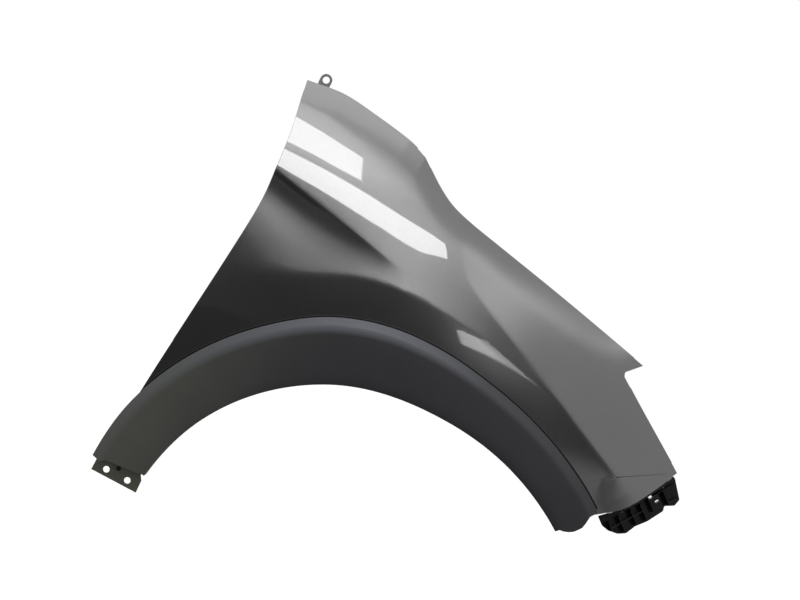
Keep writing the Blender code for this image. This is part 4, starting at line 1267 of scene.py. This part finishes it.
def between(ends, share):
    """the value at a share of the way from the first to the second of two ends"""
    return ends[0] + (ends[1] - ends[0]) * share


def studio_patch(name, bearings, left_end, right_end, radius, columns, rows):
    """a piece of a sphere round the part, mapped from 0 to 1 across and up"""
    bm = bmesh.new()
    layer = bm.loops.layers.uv.new("across")
    grid = []
    for j in range(rows + 1):
        row = []
        for i in range(columns + 1):
            az = math.radians(between(bearings, i / columns))
            heights = [between(ends, i / columns) for ends in zip(left_end, right_end)]
            up = math.radians(between(heights, j / rows))
            row.append(bm.verts.new((radius * math.sin(az) * math.cos(up),
                                     -radius * math.cos(az) * math.cos(up),
                                     radius * math.sin(up))))
        grid.append(row)
    for j in range(rows):
        for i in range(columns):
            spots = ((i, j), (i + 1, j), (i + 1, j + 1), (i, j + 1))
            face = bm.faces.new([grid[v][u] for u, v in spots])
            for loop, (u, v) in zip(face.loops, spots):
                loop[layer].uv = (u / columns, v / rows)
    mesh = bpy.data.meshes.new(name)
    bm.to_mesh(mesh)
    bm.free()
    return mesh


def light_finish(name, strength, soft_edges=(), grade=()):
    """a shining surface, graded from left to right, whose edges fade over a share of its size"""
    material = bpy.data.materials.new(name)
    cloth = Nodes(material)
    cloth.tree.nodes.remove(cloth.tree.nodes["Principled BSDF"])
    tone = WHITE
    if grade:
        tone = cloth.node("ShaderNodeValToRGB", {"stops": grade}, {"Fac": cloth.on_map("X")})
    shine = cloth.node("ShaderNodeEmission", {}, {"Color": tone, "Strength": strength})
    shares = []
    for (axis, far), width in zip((("X", False), ("X", True), ("Y", False), ("Y", True)),
                                  soft_edges):
        if width:
            spot = cloth.on_map(axis)
            shares.append(cloth.fade(1.0 - spot if far else spot, 0.0, width))
    if shares:
        mask = shares[0]
        for share in shares[1:]:
            mask = mask * share
        clear = cloth.node("ShaderNodeBsdfTransparent")
        shine = cloth.node("ShaderNodeMixShader", {}, {0: mask, 1: clear, 2: shine})
    cloth.give(cloth.tree.nodes["Material Output"].inputs["Surface"], shine)
    return material


def stand_in_studio(name, mesh, material, place):
    """an object that only reflections see"""
    mesh.materials.append(material)
    obj = bpy.data.objects.new(name, mesh)
    scene.collection.objects.link(obj)
    obj.matrix_world = place
    for kind in ("camera", "diffuse", "shadow", "transmission", "volume_scatter"):
        setattr(obj, "visible_" + kind, False)


for name, (bearings, left_end, right_end, radius, strength, soft_edges) in SCREENS.items():
    facets = DARK_SCREEN_FACETS if name == "dark_screen" else SOFTBOX_FACETS
    patch = studio_patch(name, bearings, left_end, right_end, radius, *facets)
    cloth = light_finish(name + "_cloth", strength, soft_edges, GRADES.get(name, ()))
    stand_in_studio(name, patch, cloth, STUDIO_PLACE)

CLOTH_SIZE = (-5.0, 5.0, -6.0, 1.0)
CLOTH_LIFT = 0.004
CLOTH_LEVEL = 0.05
stand_in_studio("dark_floor_cloth",
                level_sheet("dark_floor_cloth", *CLOTH_SIZE, FLOOR_HEIGHT + CLOTH_LIFT),
                light_finish("dark_floor_cloth", CLOTH_LEVEL), Matrix())


# Two light tubes of the studio, as flat cards in front of the part. Their long reflections lie
# across the upper rear of the panel. Outlines are (forward, up) from the wheel centre.
TUBE_DEPTH = -3.0
TUBE_LIGHT = 7.0
TUBES = (((-0.965, 2.835), (-0.80, 2.915), (-0.68, 2.97), (-0.45, 3.08), (-0.10, 3.17),
          (0.24, 3.27), (0.12, 3.47), (-0.28, 3.445), (-0.55, 3.43), (-0.76, 3.375),
          (-0.975, 3.285)),
         ((-1.12, 3.44), (-0.85, 3.54), (-0.74, 3.56), (-0.61, 3.61), (-0.66, 4.165),
          (-0.78, 4.20), (-0.90, 4.235), (-1.12, 4.28)))
for number, corners in enumerate(TUBES, start=1):
    name = "light_tube_%d" % number
    card = bpy.data.meshes.new(name)
    card.from_pydata([tuple(Vector((x, TUBE_DEPTH, z)) - ORIGIN) for x, z in corners], [],
                     [tuple(range(len(corners)))])
    stand_in_studio(name, card, light_finish(name, TUBE_LIGHT), Matrix())
